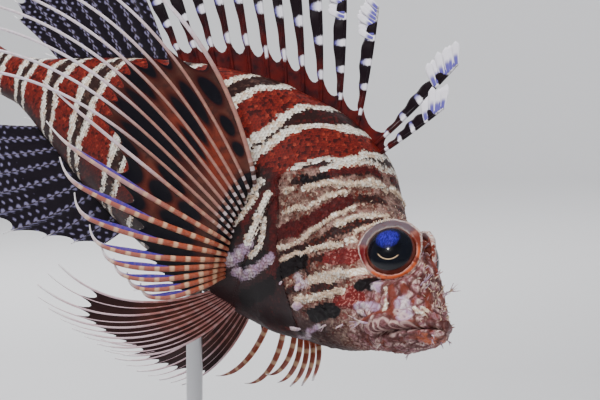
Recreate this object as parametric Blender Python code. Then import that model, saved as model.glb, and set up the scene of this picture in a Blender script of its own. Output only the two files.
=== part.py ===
"""Lionfish on a display stand: a still, life-size model of a swimming fish.

Run with: blender --background --python part.py
Units are metres, +Z up. The origin is the centre of the base's underside, with the rod
above it. +X is the way the middle of the fish heads, and its right flank faces -Y.

The fish is first described straight, in fractions of its standard length (snout tip to
the root of the tail fin): s runs back from the snout tip, lateral to the fish's right and
height up. place() then lays these numbers along the bent spine and tips the whole fish
into its swimming pose.
"""
import math

import bmesh
import bpy
import numpy as np

# ---------------------------------------------------------------- driving dimensions
STANDARD_LENGTH = 0.152
GAP = 0.0003                      # between neighbouring pieces
BODY_HEIGHT = 0.105               # spine above the floor at TURN_TO
DIVE = math.radians(24.4)         # nose down
BANK = math.radians(-7.5)         # right flank turned up a little
HEAD_TURN = math.radians(38.3)    # head to its right
TAIL_TURN = math.radians(22.5)
HEAD_LIFT = math.radians(1.0)
TAIL_LIFT = math.radians(-3.0)
TURN_FROM = 0.20                  # the head is rigid in front of this station
TURN_TO = 0.42

# Profile of the straight fish: station, top, bottom, half width, height of the widest level.
BODY_STATIONS = np.array([
    (-0.009, 0.000, -0.018, 0.010, -0.008),
    (0.004, 0.010, -0.028, 0.026, -0.012),
    (0.030, 0.028, -0.051, 0.044, -0.018),
    (0.070, 0.066, -0.075, 0.057, -0.020),
    (0.100, 0.082, -0.088, 0.064, -0.020),
    (0.130, 0.091, -0.101, 0.071, -0.020),
    (0.165, 0.102, -0.117, 0.080, -0.018),
    (0.200, 0.118, -0.127, 0.088, -0.014),
    (0.230, 0.146, -0.132, 0.094, -0.008),
    (0.260, 0.176, -0.141, 0.099, 0.000),
    (0.300, 0.195, -0.149, 0.104, 0.008),
    (0.360, 0.209, -0.149, 0.105, 0.015),
    (0.450, 0.212, -0.143, 0.098, 0.022),
    (0.550, 0.197, -0.125, 0.084, 0.028),
    (0.650, 0.170, -0.095, 0.066, 0.032),
    (0.750, 0.135, -0.056, 0.047, 0.036),
    (0.820, 0.108, -0.028, 0.035, 0.038),
    (0.900, 0.082, -0.002, 0.024, 0.040),
    (0.950, 0.075, 0.000, 0.018, 0.038),
    (1.000, 0.080, -0.005, 0.012, 0.037),
])
SNOUT = BODY_STATIONS[0, 0]
SECTION_POWER = 0.86              # under 1 makes the cross-section fuller than an ellipse
AROUND = 32                       # points round each ring

GILL_TOP = 0.250                  # the head ends here on the nape
GILL_REACH = 0.102                # and this much further back on the gill cover
GILL_BOTTOM = 0.020
THROAT = (0.30, 0.0, 0.03)        # where the hollow rear face of the head is deepest
TRUNK_SPLIT = 0.62
TAIL_SPLIT = 0.86

EYE_AT = (0.115, 0.0355, 0.056)    # station, lateral, height of the eyeball's centre
EYE_RADIUS = 0.0425
EYE_HALF_DEPTH = 0.0205

MOUTH_FRONT = (0.0, -0.012)       # station and height of the line of the mouth
MOUTH_SLOPE = math.radians(35)
MOUTH_SLIT = 0.0004

ROD_RADIUS = 0.002
ROD_STATION = 0.455
BASE_RADIUS = 0.062
BASE_THICKNESS = 0.009
COLLAR_RADIUS = 0.0065
COLLAR_HEIGHT = 0.006


# ---------------------------------------------------------------- the body's own numbers
def smooth_through(x, knots, values):
    """Smooth curve through the knots that never overshoots them."""
    x = np.asarray(x, float)
    steps = np.diff(knots)
    slopes = np.diff(values) / steps
    tangents = np.zeros(len(knots))
    same_way = slopes[:-1] * slopes[1:] > 0
    harmonic = 2 * slopes[:-1] * slopes[1:] / (slopes[:-1] + slopes[1:] + 1e-12)
    tangents[1:-1] = np.where(same_way, harmonic, 0.0)
    tangents[0], tangents[-1] = slopes[0], slopes[-1]
    i = np.clip(np.searchsorted(knots, x) - 1, 0, len(knots) - 2)
    t = np.clip((x - knots[i]) / steps[i], 0, 1)
    return ((2 * t**3 - 3 * t**2 + 1) * values[i] + (t**3 - 2 * t**2 + t) * steps[i] * tangents[i]
            + (3 * t**2 - 2 * t**3) * values[i + 1] + (t**3 - t**2) * steps[i] * tangents[i + 1])


def ease(value):
    """0 below 0, 1 above 1 and a smooth step between."""
    value = np.clip(value, 0, 1)
    return value * value * (3 - 2 * value)


def bell(value, centre, width):
    """Smooth bump of height 1."""
    return np.exp(-((value - centre) / width) ** 2)


def unit(vectors):
    return vectors / np.maximum(np.linalg.norm(vectors, axis=-1, keepdims=True), 1e-12)


def profile(s):
    """Top, bottom, half width and widest level at station s."""
    return [smooth_through(s, BODY_STATIONS[:, 0], BODY_STATIONS[:, column]) for column in (1, 2, 3, 4)]


def section(s, phi):
    """Lateral and height of the plain body at angle phi, 0 on the back and 90 degrees on the right."""
    top, bottom, half_width, widest = profile(s)
    rise, side = np.cos(phi), np.sin(phi)
    lateral = half_width * np.sign(side) * np.abs(side) ** SECTION_POWER
    reach = np.where(rise >= 0, top - widest, widest - bottom)
    return lateral, widest + reach * np.sign(rise) * np.abs(rise) ** SECTION_POWER


def mouth_distance(s, height):
    """Signed distance above the sloping plane of the mouth."""
    along, up = s - MOUTH_FRONT[0], height - MOUTH_FRONT[1]
    return up * math.cos(MOUTH_SLOPE) + along * math.sin(MOUTH_SLOPE)


def relief(s, lateral, height):
    """How far the head stands out from the plain body: brow, lips, cheek ridge and gill cover."""
    side = np.abs(lateral)
    from_eye = np.hypot(s - EYE_AT[0], height - EYE_AT[2]) / EYE_RADIUS
    brow = 0.011 * bell(from_eye, 1.14, 0.20) * ease((side - 0.012) / 0.02)
    between_eyes = -0.007 * bell(side, 0, 0.013) * bell(s, 0.12, 0.05) * ease(height / 0.05)
    lip = mouth_distance(s, height)
    lips = 0.005 * (bell(lip, 0.008, 0.006) + bell(lip, -0.008, 0.006)) * ease((0.085 - s) / 0.03)
    upper_jaw = 0.006 * bell(s, 0.055, 0.024) * bell(lip, 0.018, 0.011)
    cheek_ridge = 0.005 * bell(height, 0.012 - 0.25 * (s - 0.10), 0.010) * ease((s - 0.05) / 0.04)
    cheek_ridge *= ease((0.25 - s) / 0.05)
    cheek_groove = -0.004 * bell(s, 0.232 - 12 * (height - 0.01) ** 2, 0.010) * bell(height, -0.02, 0.07)
    gill_edge = 0.006 * ease((s - 0.27) / 0.08) * bell(height, 0.0, 0.11) * ease((0.37 - s) / 0.005)
    return brow + between_eyes + lips + upper_jaw + cheek_ridge + cheek_groove + gill_edge


def body_point(s, phi, swell=0.0, with_relief=True):
    """Point on the body in the room, swollen outwards by a distance in metres."""
    lateral, height = section(s, phi)
    centre = profile(s)[3]
    spread = np.hypot(lateral, height - centre) + 1e-9
    out = swell / STANDARD_LENGTH + (relief(s, lateral, height) if with_relief else 0.0)
    chin = 0.007 * ease((0.03 - s) / 0.05) * ease(-mouth_distance(s, height) / 0.02)
    return place(s - chin, lateral * (1 + out / spread), centre + (height - centre) * (1 + out / spread))


# ---------------------------------------------------------------- the bent spine
def rotation(axis, angle):
    """Turn about X or Y as a 3 x 3 array."""
    c, s = math.cos(angle), math.sin(angle)
    return np.array([[1, 0, 0], [0, c, -s], [0, s, c]]) if axis == "X" else np.array(
        [[c, 0, s], [0, 1, 0], [-s, 0, c]])


def bend(s, at_head, at_tail):
    return (at_head * ease((TURN_TO - s) / (TURN_TO - TURN_FROM))
            + at_tail * np.clip((s - TURN_TO) / (1 - TURN_TO), 0, 1))


SPINE_S = np.linspace(-0.06, 1.6, 417)
SPINE_YAW = bend(SPINE_S, HEAD_TURN, TAIL_TURN)
SPINE_PITCH = bend(SPINE_S, HEAD_LIFT, TAIL_LIFT)
SPINE_FORWARD = np.stack([np.cos(SPINE_PITCH) * np.cos(SPINE_YAW),
                          -np.cos(SPINE_PITCH) * np.sin(SPINE_YAW),
                          -np.sin(SPINE_PITCH)], 1)
SPINE_STEP = SPINE_S[1] - SPINE_S[0]
SPINE_AT = -np.concatenate([np.zeros((1, 3)),
                            np.cumsum((SPINE_FORWARD[1:] + SPINE_FORWARD[:-1]) / 2, 0) * SPINE_STEP])
SPINE_AT -= SPINE_AT[np.argmin(np.abs(SPINE_S - TURN_TO))]
POSE = rotation("Y", DIVE) @ rotation("X", BANK)


def spine_frame(s):
    """Centre, forward, left and up of the spine at station s, before the pose."""
    centre = np.stack([np.interp(s, SPINE_S, SPINE_AT[:, k]) for k in range(3)], -1)
    forward = unit(np.stack([np.interp(s, SPINE_S, SPINE_FORWARD[:, k]) for k in range(3)], -1))
    yaw = np.interp(s, SPINE_S, SPINE_YAW)
    left = np.stack([np.sin(yaw), np.cos(yaw), np.zeros_like(yaw)], -1)
    return centre, forward, left, np.cross(forward, left)


def posed(s, lateral, height):
    """Straight-fish numbers to a point measured from the spine at TURN_TO."""
    s, lateral, height = np.broadcast_arrays(*(np.asarray(v, float) for v in (s, lateral, height)))
    centre, _, left, up = spine_frame(s)
    point = (centre - left * lateral[..., None] + up * height[..., None]) * STANDARD_LENGTH
    return point @ POSE.T


# The belly over the rod's foot stands above the origin.
SPINE_ORIGIN = -posed(ROD_STATION, 0.0, profile(ROD_STATION)[1])
SPINE_ORIGIN[2] = BODY_HEIGHT


def place(s, lateral, height):
    """Straight-fish numbers to a point in the room."""
    return posed(s, lateral, height) + SPINE_ORIGIN


def direction(s, back, right, up):
    """Direction in the room of a vector given along the fish at station s."""
    _, forward, left, rise = spine_frame(np.asarray(s, float))
    return unit((-forward * back - left * right + rise * up) @ POSE.T)


# ---------------------------------------------------------------- mesh helpers
def clear_scene():
    for item in list(bpy.data.objects):
        bpy.data.objects.remove(item, do_unlink=True)


def material(name, colour, roughness, metallic=0.0):
    made = bpy.data.materials.new(name)
    made.use_nodes = True
    shader = made.node_tree.nodes["Principled BSDF"]
    shader.inputs["Base Color"].default_value = (*colour, 1.0)
    shader.inputs["Roughness"].default_value = roughness
    shader.inputs["Metallic"].default_value = metallic
    made.diffuse_color = (*colour, 1.0)
    return made


def make_object(name, vertices, faces, finish=None):
    mesh = bpy.data.meshes.new(name)
    mesh.from_pydata([tuple(v) for v in vertices], [], faces)
    mesh.update()
    made = bpy.data.objects.new(name, mesh)
    bpy.context.scene.collection.objects.link(made)
    if finish:
        mesh.materials.append(finish)
    return made


def face_outwards(made):
    """Turn the faces so that the closed mesh has a positive volume."""
    work = bmesh.new()
    work.from_mesh(made.data)
    if work.calc_volume(signed=True) < 0:
        bmesh.ops.reverse_faces(work, faces=work.faces)
    work.to_mesh(made.data)
    work.free()


def closed_loft(name, rings, finish, front_centre=None, rear_centre=None):
    """Closed surface through rings of points, with a fan of triangles over each end."""
    count, around, _ = rings.shape
    vertices = list(rings.reshape(-1, 3))
    vertices += [rings[0].mean(0) if front_centre is None else front_centre,
                 rings[-1].mean(0) if rear_centre is None else rear_centre]
    faces = []
    for ring in range(count - 1):
        for i in range(around):
            j = (i + 1) % around
            a, b, c, d = (ring * around + i, ring * around + j,
                          (ring + 1) * around + j, (ring + 1) * around + i)
            faces += [(a, b, c), (a, c, d)]
    last = (count - 1) * around
    for i in range(around):
        j = (i + 1) % around
        faces.append((j, i, count * around))
        faces.append((last + i, last + j, count * around + 1))
    made = make_object(name, vertices, faces, finish)
    face_outwards(made)
    return made


def apply_modifiers(made):
    graph = bpy.context.evaluated_depsgraph_get()
    result = bpy.data.meshes.new_from_object(made.evaluated_get(graph))
    old = made.data
    made.modifiers.clear()
    made.data = result
    bpy.data.meshes.remove(old)


def boolean(made, operation, other, solver="EXACT"):
    """Union, difference or intersection with one object or a list of them, which are then removed."""
    others = other if isinstance(other, list) else [other]
    group = bpy.data.collections.new("boolean_operands")
    bpy.context.scene.collection.children.link(group)
    for item in others:
        bpy.context.scene.collection.objects.unlink(item)
        group.objects.link(item)
    modifier = made.modifiers.new("Boolean", "BOOLEAN")
    modifier.operation = operation
    modifier.solver = solver
    modifier.operand_type = "COLLECTION"
    modifier.collection = group
    apply_modifiers(made)
    for item in others:
        bpy.data.objects.remove(item, do_unlink=True)
    bpy.data.collections.remove(group)


def bodies_of(mesh):
    """The mesh's separate closed surfaces as lists of face indices, largest box first."""
    work = bmesh.new()
    work.from_mesh(mesh)
    work.faces.ensure_lookup_table()
    unseen, found = set(range(len(work.faces))), []
    while unseen:
        front = [unseen.pop()]
        body = list(front)
        while front:
            for edge in work.faces[front.pop()].edges:
                for face in edge.link_faces:
                    if face.index in unseen:
                        unseen.remove(face.index)
                        front.append(face.index)
                        body.append(face.index)
        points = np.array([v.co for i in body for v in work.faces[i].verts])
        found.append((float(np.prod(np.ptp(points, axis=0) + 1e-6)), body))
    work.free()
    return [body for _, body in sorted(found, key=lambda item: -item[0])]


def keep_faces(made, faces):
    """Leave only the given faces of a mesh."""
    keep = set(faces)
    work = bmesh.new()
    work.from_mesh(made.data)
    work.faces.ensure_lookup_table()
    bmesh.ops.delete(work, geom=[f for f in work.faces if f.index not in keep], context="FACES")
    work.to_mesh(made.data)
    work.free()


def keep_largest(made):
    keep_faces(made, bodies_of(made.data)[0])


def body_rings(start, end, count, swell=0.0):
    """Rings of the body between two stations, each a number or a function of the angle."""
    phi = np.linspace(0, 2 * math.pi, AROUND, endpoint=False)
    first = start(phi) if callable(start) else np.full(AROUND, start)
    last = end(phi) if callable(end) else np.full(AROUND, end)
    mix = np.linspace(0, 1, count)[:, None]
    return body_point(first * (1 - mix) + last * mix, phi[None, :] + 0 * mix, swell)


def swollen_body(name):
    """The whole body, larger all round by the gap, to cut what grows from it."""
    return closed_loft(name, body_rings(SNOUT, 1.0, 48, GAP), None)


# ---------------------------------------------------------------- fins
class RayFin:
    """A webbed fan of rays: each ray is a ridge on both faces and runs on free past the web.

    paths is rays x stations x 3. front, rear and crest are rays x stations half sizes of each
    ray: towards the ray before it, towards the ray after it, and out of the web. web is the
    web's half thickness at each station. The first `webbed` stations carry the web.
    """

    def __init__(self, paths, webbed, front, rear, crest, web, facing, scallop=0.4, taut=0.0):
        self.paths, self.webbed = paths, webbed
        self.front, self.rear, self.crest, self.web = front, rear, crest, web
        self.rays, self.stations = paths.shape[:2]
        self.scallop, self.taut = scallop, taut
        self.along = unit(np.gradient(paths, axis=1))
        self.normal = self.find_normals(facing)
        self.across = unit(np.cross(self.normal, self.along))
        to_next = np.diff(paths, axis=0).mean(axis=(0, 1))
        if np.mean(self.across @ to_next) < 0:
            self.across = -self.across
        self.vertices, self.index = [], {}

    def find_normals(self, facing):
        """Normals of the web, carried on along the free part of each ray."""
        spread = np.gradient(self.paths, axis=0)
        normal = unit(np.cross(self.along, spread))
        normal *= np.sign(np.sum(normal * facing, -1, keepdims=True))
        for k in range(self.webbed, self.stations):
            before = normal[:, k - 1]
            along = self.along[:, k]
            normal[:, k] = unit(before - along * np.sum(before * along, -1, keepdims=True))
        return normal

    def point(self, ray, column, k, side):
        normal, across = self.normal[ray, k], self.across[ray, k]
        centre = self.paths[ray, k]
        web = self.web[min(k, self.webbed - 1)] * normal * side
        if column == "front":
            return centre - across * self.front[ray, k] + web
        if column == "crest":
            return centre + normal * side * self.crest[ray, k]
        if column == "rear":
            return centre + across * self.rear[ray, k] + web
        left = self.paths[ray, k] + across * self.rear[ray, k]
        right = self.paths[ray + 1, k] - self.across[ray + 1, k] * self.front[ray + 1, k]
        middle = (left + right) / 2
        if k == self.webbed - 1:
            back = (self.paths[ray, k - 1] + self.paths[ray + 1, k - 1]) / 2
            middle = middle + (back - middle) * self.scallop
        return middle - normal * self.taut * np.linalg.norm(right - left) + web

    def vertex(self, ray, column, k, side):
        """Index of a vertex; both faces share the points of the edges."""
        edge = (column == "front" and ray == 0) or (column == "rear" and ray == self.rays - 1)
        if column != "crest" and (edge or k >= self.webbed - 1):
            side = 0
        key = (ray, column, k, side)
        if key not in self.index:
            self.index[key] = len(self.vertices)
            self.vertices.append(self.point(ray, column, k, side))
        return self.index[key]

    def build(self, name, finish):
        columns = []
        for ray in range(self.rays):
            columns += [(ray, "front"), (ray, "crest"), (ray, "rear"), (ray, "middle")]
        columns.pop()
        faces = []
        for (ray_a, column_a), (ray_b, column_b) in zip(columns, columns[1:]):
            for k in range(self.webbed - 1):
                for side in (1, -1):
                    a, b = self.vertex(ray_a, column_a, k, side), self.vertex(ray_b, column_b, k, side)
                    c = self.vertex(ray_b, column_b, k + 1, side)
                    d = self.vertex(ray_a, column_a, k + 1, side)
                    pair = [(a, b, c), (a, c, d)]
                    faces += pair if side > 0 else [face[::-1] for face in pair]
            a, b = self.vertex(ray_a, column_a, 0, 1), self.vertex(ray_b, column_b, 0, 1)
            c, d = self.vertex(ray_b, column_b, 0, -1), self.vertex(ray_a, column_a, 0, -1)
            faces += [(b, a, d), (b, d, c)]
        faces = [face for face in faces if len(set(face)) == 3]
        for ray in range(self.rays):
            faces += self.free_ray(ray)
        made = make_object(name, self.vertices, faces, finish)
        face_outwards(made)
        return made

    def free_ray(self, ray):
        """The part of a ray past the web: a four-sided spike that ends in a point."""
        around = [("front", 0), ("crest", 1), ("rear", 0), ("crest", -1)]
        faces = []
        for k in range(self.webbed - 1, self.stations - 2):
            for i in range(4):
                (column_a, side_a), (column_b, side_b) = around[i], around[(i + 1) % 4]
                a, b = self.vertex(ray, column_a, k, side_a), self.vertex(ray, column_b, k, side_b)
                c = self.vertex(ray, column_b, k + 1, side_b)
                d = self.vertex(ray, column_a, k + 1, side_a)
                faces += [(a, b, c), (a, c, d)]
        tip = len(self.vertices)
        self.vertices.append(self.paths[ray, -1])
        last = self.stations - 2
        for i in range(4):
            (column_a, side_a), (column_b, side_b) = around[i], around[(i + 1) % 4]
            faces.append((self.vertex(ray, column_a, last, side_a),
                          self.vertex(ray, column_b, last, side_b), tip))
        return faces


def ray_stations(web_share, webbed, free):
    """Fractions of each ray's length: `webbed` stations up to web_share, then `free` more to the tip."""
    web_share = np.asarray(web_share)[:, None]
    inside = np.linspace(0, 1, webbed)[None, :] * web_share
    beyond = web_share + (1 - web_share) * np.linspace(0, 1, free + 1)[None, 1:]
    return np.concatenate([inside, beyond], 1)


def swept_paths(roots, start, finish_angle, late, lengths, back, rise, fractions):
    """Rays that leave their roots at one angle and curve to another, each in its own plane.

    Angles are measured from `back` reversed towards `rise`, in degrees. The turn grows as
    the fraction of the length to the power `late`.
    """
    fine = np.linspace(0, 1, 61)
    back, rise = np.broadcast_to(back, roots.shape), np.broadcast_to(rise, roots.shape)
    paths = []
    for i, root in enumerate(roots):
        angle = np.radians(start[i] + (finish_angle[i] - start[i]) * fine ** late[i])
        heading = -np.cos(angle)[:, None] * back[i] + np.sin(angle)[:, None] * rise[i]
        steps = (heading[1:] + heading[:-1]) / 2 / (len(fine) - 1)
        run = np.concatenate([np.zeros((1, 3)), np.cumsum(steps, 0)]) * lengths[i]
        paths.append(np.stack([np.interp(fractions[i], fine, run[:, k]) for k in range(3)], 1) + root)
    return np.array(paths)


def taper(fractions, root, tip, power=1.0):
    return root + (tip - root) * fractions ** power


PECTORAL_RAYS = 17
PECTORAL_KNOTS = np.array([0, 1, 3, 7, 8, 12, 16]) / 16
PECTORAL_START = {1: np.array([104, 117, 124, 137, 142, 178, 201]),
                  -1: np.array([138, 146, 152, 166, 185, 255, 294])}
PECTORAL_END = {1: np.array([166, 192, 190, 200, 138, 146, 138]),
                -1: np.array([160, 162, 166, 176, 178, 150, 227])}
PECTORAL_LATE = {1: np.array([1.4, 2.0, 1.8, 2.6, 3.2, 3.0, 3.4]),
                 -1: np.array([1.4, 2.0, 1.8, 2.6, 3.2, 4.0, 4.0])}
PECTORAL_LENGTH = {1: np.array([0.082, 0.098, 0.104, 0.086, 0.058, 0.037, 0.024]),
                   -1: np.array([0.082, 0.098, 0.104, 0.086, 0.058, 0.030, 0.026])}
PECTORAL_WEB = {1: np.array([0.42, 0.44, 0.47, 0.55, 0.66, 0.76, 0.74]),
                -1: np.array([0.42, 0.44, 0.47, 0.55, 0.58, 0.48, 0.48])}
PECTORAL_BACK = np.array([0.816, 0.413, -0.404])    # of the fan's plane: back, out, up
PECTORAL_FLARE = np.array([0.47, 0.65, -0.60])      # the same for the left fin's lower rays
PECTORAL_RISE = (0.430, 0.033, 0.902)
PELVIC_BACK = (0.840, 0.360, -0.404)
PECTORAL_ROOT_S = {1: (0.405, 0.395), -1: (0.408, 0.351)}
PECTORAL_ROOT_PHI = {1: (math.radians(86), math.radians(134)), -1: (math.radians(86), math.radians(136))}


def fan_plane(side, back, rise):
    """Unit vectors of a paired fin's plane: to its rear, to its upper edge and out of its outer face."""
    back = direction(TURN_TO, back[0], back[1] * side, back[2])
    rise = direction(TURN_TO, rise[0], rise[1] * side, rise[2])
    rise = unit(rise - back * (rise @ back))
    outward = np.cross(back, rise)
    return back, rise, outward * np.sign(outward @ direction(TURN_TO, 0, side, 0))


def pectoral_fin(name, side, finish):
    """One large wing-like fin; side is 1 for the fish's right."""
    u = np.linspace(0, 1, PECTORAL_RAYS)
    start, end, late, length, web_share = [np.interp(u, PECTORAL_KNOTS, values) for values in (
        PECTORAL_START[side], PECTORAL_END[side], PECTORAL_LATE[side], PECTORAL_LENGTH[side],
        PECTORAL_WEB[side])]
    phi = side * np.interp(u, [0, 1], PECTORAL_ROOT_PHI[side])
    roots_s = np.interp(u, [0, 1], PECTORAL_ROOT_S[side])
    roots = body_point(roots_s, phi, -0.0016, with_relief=False)
    flared = ease((np.arange(PECTORAL_RAYS) - 6) / 5) * (side < 0)
    planes = [fan_plane(side, PECTORAL_BACK + (PECTORAL_FLARE - PECTORAL_BACK) * share, PECTORAL_RISE)
              for share in flared]
    back, rise, outward = (np.array(vectors) for vectors in zip(*planes))
    webbed, free = 6, 6
    fractions = ray_stations(web_share, webbed, free)
    paths = swept_paths(roots, start, end, late, length, back, rise, fractions)
    dish = 0.0030 * np.sin(np.clip(fractions / web_share[:, None], 0, 2) * math.pi / 2)
    stem = 0.0028 * ease(fractions * length[:, None] / 0.006)
    paths = paths + outward[:, None] * (dish + stem)[..., None]
    width = taper(fractions, 0.00042, 0.00026) * (1 - 0.25 * flared[:, None])
    crest = taper(fractions, 0.00062, 0.00030)
    web = np.array([0.0011, 0.0006, 0.0004, 0.00030, 0.00028, 0.00026])
    fin = RayFin(paths, webbed, width, width, crest, web, outward[:, None], scallop=0.55, taut=0.04)
    fin.crest[:, 0] = 0.0014
    fin.crest[:, 1] = 0.0009
    return fin.build(name, finish)


PELVIC_LINES = 11
PELVIC_ROOT_S = (0.362, 0.410)
PELVIC_ROOT_PHI = math.radians(159)
PELVIC_START = {1: (226, 198), -1: (244, 216)}     # heading at the root of the first and last line
PELVIC_END = {1: (172, 132), -1: (196, 156)}
PELVIC_LENGTH = ((0.0, 0.75, 1.0), (0.031, 0.047, 0.040))


def pelvic_fin(name, side, finish):
    """One belly fin: a spine and five forked rays."""
    u = np.linspace(0, 1, PELVIC_LINES)
    start = np.interp(u, [0, 1], PELVIC_START[side])
    end = np.interp(u, [0, 1], PELVIC_END[side])
    length = np.interp(u, *PELVIC_LENGTH)
    back, rise, outward = fan_plane(side, PELVIC_BACK, PECTORAL_RISE)
    roots_s = np.interp(u, [0, 1], PELVIC_ROOT_S)
    roots = body_point(roots_s, np.full(PELVIC_LINES, side * PELVIC_ROOT_PHI), -0.0014, with_relief=False)
    webbed, free = 4, 3
    fractions = ray_stations(np.full(PELVIC_LINES, 0.80), webbed, free)
    paths = swept_paths(roots, start, end, np.full(PELVIC_LINES, 1.4), length, back, rise, fractions)
    width = np.minimum(taper(fractions, 0.00016, 0.00026), 0.00026)
    crest = taper(fractions, 0.00060, 0.00030)
    web = np.array([0.0008, 0.0004, 0.00028, 0.00026])
    fin = RayFin(paths, webbed, width, width, crest, web, outward, scallop=0.3)
    return fin.build(name, finish)


SPINE_COUNT = 13
SPINE_LENGTHS = np.array([0.130, 0.185, 0.200, 0.215, 0.275, 0.320, 0.350, 0.360, 0.350, 0.325, 0.285,
                          0.235, 0.215]) * STANDARD_LENGTH
SPINE_LEANS = np.radians([-38, -27, 14, 20, 24, 26, 28, 30, 32, 34, 37, 40, 43])


NAPE_FEET = (0.268, 0.283)        # the first two stand close together
REAR_FEET = (0.322, 0.628)        # first and last of the others


def spine_feet():
    """Stations of the dorsal spines from the nape to the rear."""
    rear = REAR_FEET[0] + (REAR_FEET[1] - REAR_FEET[0]) * np.linspace(0, 1, SPINE_COUNT - 2) ** 0.92
    return np.concatenate([NAPE_FEET, rear])


def midline_paths(feet, lengths, leans, curl, fractions, sink, below=False):
    """Rays in the middle plane, leaning back from the spine's own up (or down) and curling further."""
    paths = []
    for foot, length, lean, share in zip(feet, lengths, leans, fractions):
        phi = math.pi if below else 0.0
        root = body_point(np.array(foot), np.array(phi), -sink, with_relief=False)
        sign = -1 if below else 1
        fine = np.linspace(0, 1, 31)
        angle = lean + curl * fine
        up, back = direction(foot, 0, 0, sign), direction(foot, 1, 0, 0)
        heading = np.cos(angle)[:, None] * up + np.sin(angle)[:, None] * back
        run = np.concatenate([np.zeros((1, 3)), np.cumsum((heading[1:] + heading[:-1]) / 2, 0) / 30]) * length
        paths.append(np.stack([np.interp(share, fine, run[:, k]) for k in range(3)], 1) + root)
    return np.array(paths)


def dorsal_spines(finish):
    """The row of stout spines, each with a vane behind it that ends in a ragged flag."""
    feet = spine_feet()
    webbed, free = 3, 10
    fractions = ray_stations(np.full(SPINE_COUNT, 0.20), webbed, free)
    paths = midline_paths(feet, SPINE_LENGTHS, SPINE_LEANS, math.radians(7), fractions, 0.0012)
    front = taper(fractions, 0.00055, 0.00028)
    vane = 0.0007 + 0.0021 * bell(fractions, 0.62, 0.30)
    teeth = np.where(np.arange(fractions.shape[1]) % 2 == 0, 1.0, 0.25)
    flag = ease((fractions - 0.72) / 0.08) * ease((1.02 - fractions) / 0.1)
    rear = vane * (1 - flag) + flag * (0.0008 + 0.0032 * teeth)
    to_next = np.linalg.norm(np.diff(paths, axis=0), axis=-1)
    rear[:-1] = np.minimum(rear[:-1], 0.62 * to_next)
    rear[:, :webbed] = 0.00055
    crest = taper(fractions, 0.00075, 0.00032)
    fin = RayFin(paths, webbed, front, rear, crest, np.array([0.0006, 0.0004, 0.0003]),
                 direction(TURN_TO, 0, 1, 0), scallop=0.75)
    return fin.build("dorsal_fin_spines", finish)


# Soft fins: first and last foot, ray lengths from front to rear, first and last lean in degrees.
SOFT_DORSAL_FEET = (0.650, 0.840)
SOFT_DORSAL_LENGTHS = np.array([0.190, 0.225, 0.249, 0.263, 0.267, 0.263, 0.251, 0.234, 0.211, 0.183,
                                0.140]) * STANDARD_LENGTH
SOFT_DORSAL_LEANS = (44, 68)
ANAL_FEET = (0.600, 0.825)
ANAL_LENGTHS = np.array([0.060, 0.097, 0.132, 0.188, 0.213, 0.239, 0.237, 0.214, 0.192,
                         0.170]) * STANDARD_LENGTH
ANAL_LEANS = (26, 68)


def soft_fin(name, finish, rays, feet, lengths, leans, below=False):
    """A soft fin of the middle plane, webbed almost to the tips of its rays."""
    webbed, free = 5, 2
    u = np.linspace(0, 1, rays)
    fractions = ray_stations(np.full(rays, 0.93), webbed, free)
    paths = midline_paths(np.interp(u, [0, 1], feet), lengths, np.radians(np.interp(u, [0, 1], leans)),
                          math.radians(10), fractions, 0.0012, below)
    width = taper(fractions, 0.00040, 0.00030)
    crest = taper(fractions, 0.00060, 0.00032)
    web = np.array([0.0006, 0.0004, 0.0003, 0.00028, 0.00026])
    fin = RayFin(paths, webbed, width, width, crest, web, direction(TURN_TO, 0, 1, 0), scallop=0.25)
    return fin.build(name, finish)


CAUDAL_RAYS = 13
CAUDAL_LENGTH = 0.30 * STANDARD_LENGTH
CAUDAL_SPREAD = math.radians(30)


def caudal_fin(finish):
    """The rounded tail fin, a fan of rays behind the end of the spine."""
    u = np.linspace(-1, 1, CAUDAL_RAYS)
    top, bottom = (float(v) for v in profile(1.0)[:2])
    middle, half = (top + bottom) / 2, (top - bottom) / 2 * 0.86
    fractions = ray_stations(np.full(CAUDAL_RAYS, 0.95), 5, 2)
    lengths = CAUDAL_LENGTH * (1 - 0.10 * u**2)
    paths = []
    for i, part in enumerate(u):
        angle = CAUDAL_SPREAD * part * (1 - 0.25 * fractions[i])
        s = 1.0 + GAP / STANDARD_LENGTH + fractions[i] * lengths[i] / STANDARD_LENGTH * np.cos(angle)
        height = middle + half * part + fractions[i] * lengths[i] / STANDARD_LENGTH * np.sin(angle)
        paths.append(place(s, 0 * s, height))
    width = taper(fractions, 0.00036, 0.00034)
    crest = taper(fractions, 0.00085, 0.00032)
    web = np.array([0.0006, 0.0004, 0.0003, 0.00028, 0.00026])
    fin = RayFin(np.array(paths), 5, width, width, crest, web, direction(0.9, 0, 1, 0), scallop=0.2)
    return fin.build("caudal_fin", finish)


# ---------------------------------------------------------------- head, eyes and stand
def gill_line(phi):
    """Station of the rear edge of the head at angle phi."""
    return GILL_TOP + GILL_REACH * np.abs(np.sin(phi)) ** 1.3 + GILL_BOTTOM * (1 - np.cos(phi)) / 2


def eyeball(name, side, swell, finish):
    """Flattened ball whose axis points out of the side of the head."""
    rings, around = 8, 14
    polar = np.linspace(0, math.pi, rings + 2)[1:-1, None]
    turn = np.linspace(0, 2 * math.pi, around, endpoint=False)[None, :]
    radius = EYE_RADIUS + swell / STANDARD_LENGTH
    depth = EYE_HALF_DEPTH + swell / STANDARD_LENGTH
    across = radius * np.sin(polar)
    points = place(EYE_AT[0] + across * np.cos(turn),
                   side * (EYE_AT[1] + depth * np.cos(polar)) + 0 * turn,
                   EYE_AT[2] + across * np.sin(turn))
    poles = [place(EYE_AT[0], side * (EYE_AT[1] + depth * end), EYE_AT[2]) for end in (1, -1)]
    return closed_loft(name, points, finish, *poles)


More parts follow.
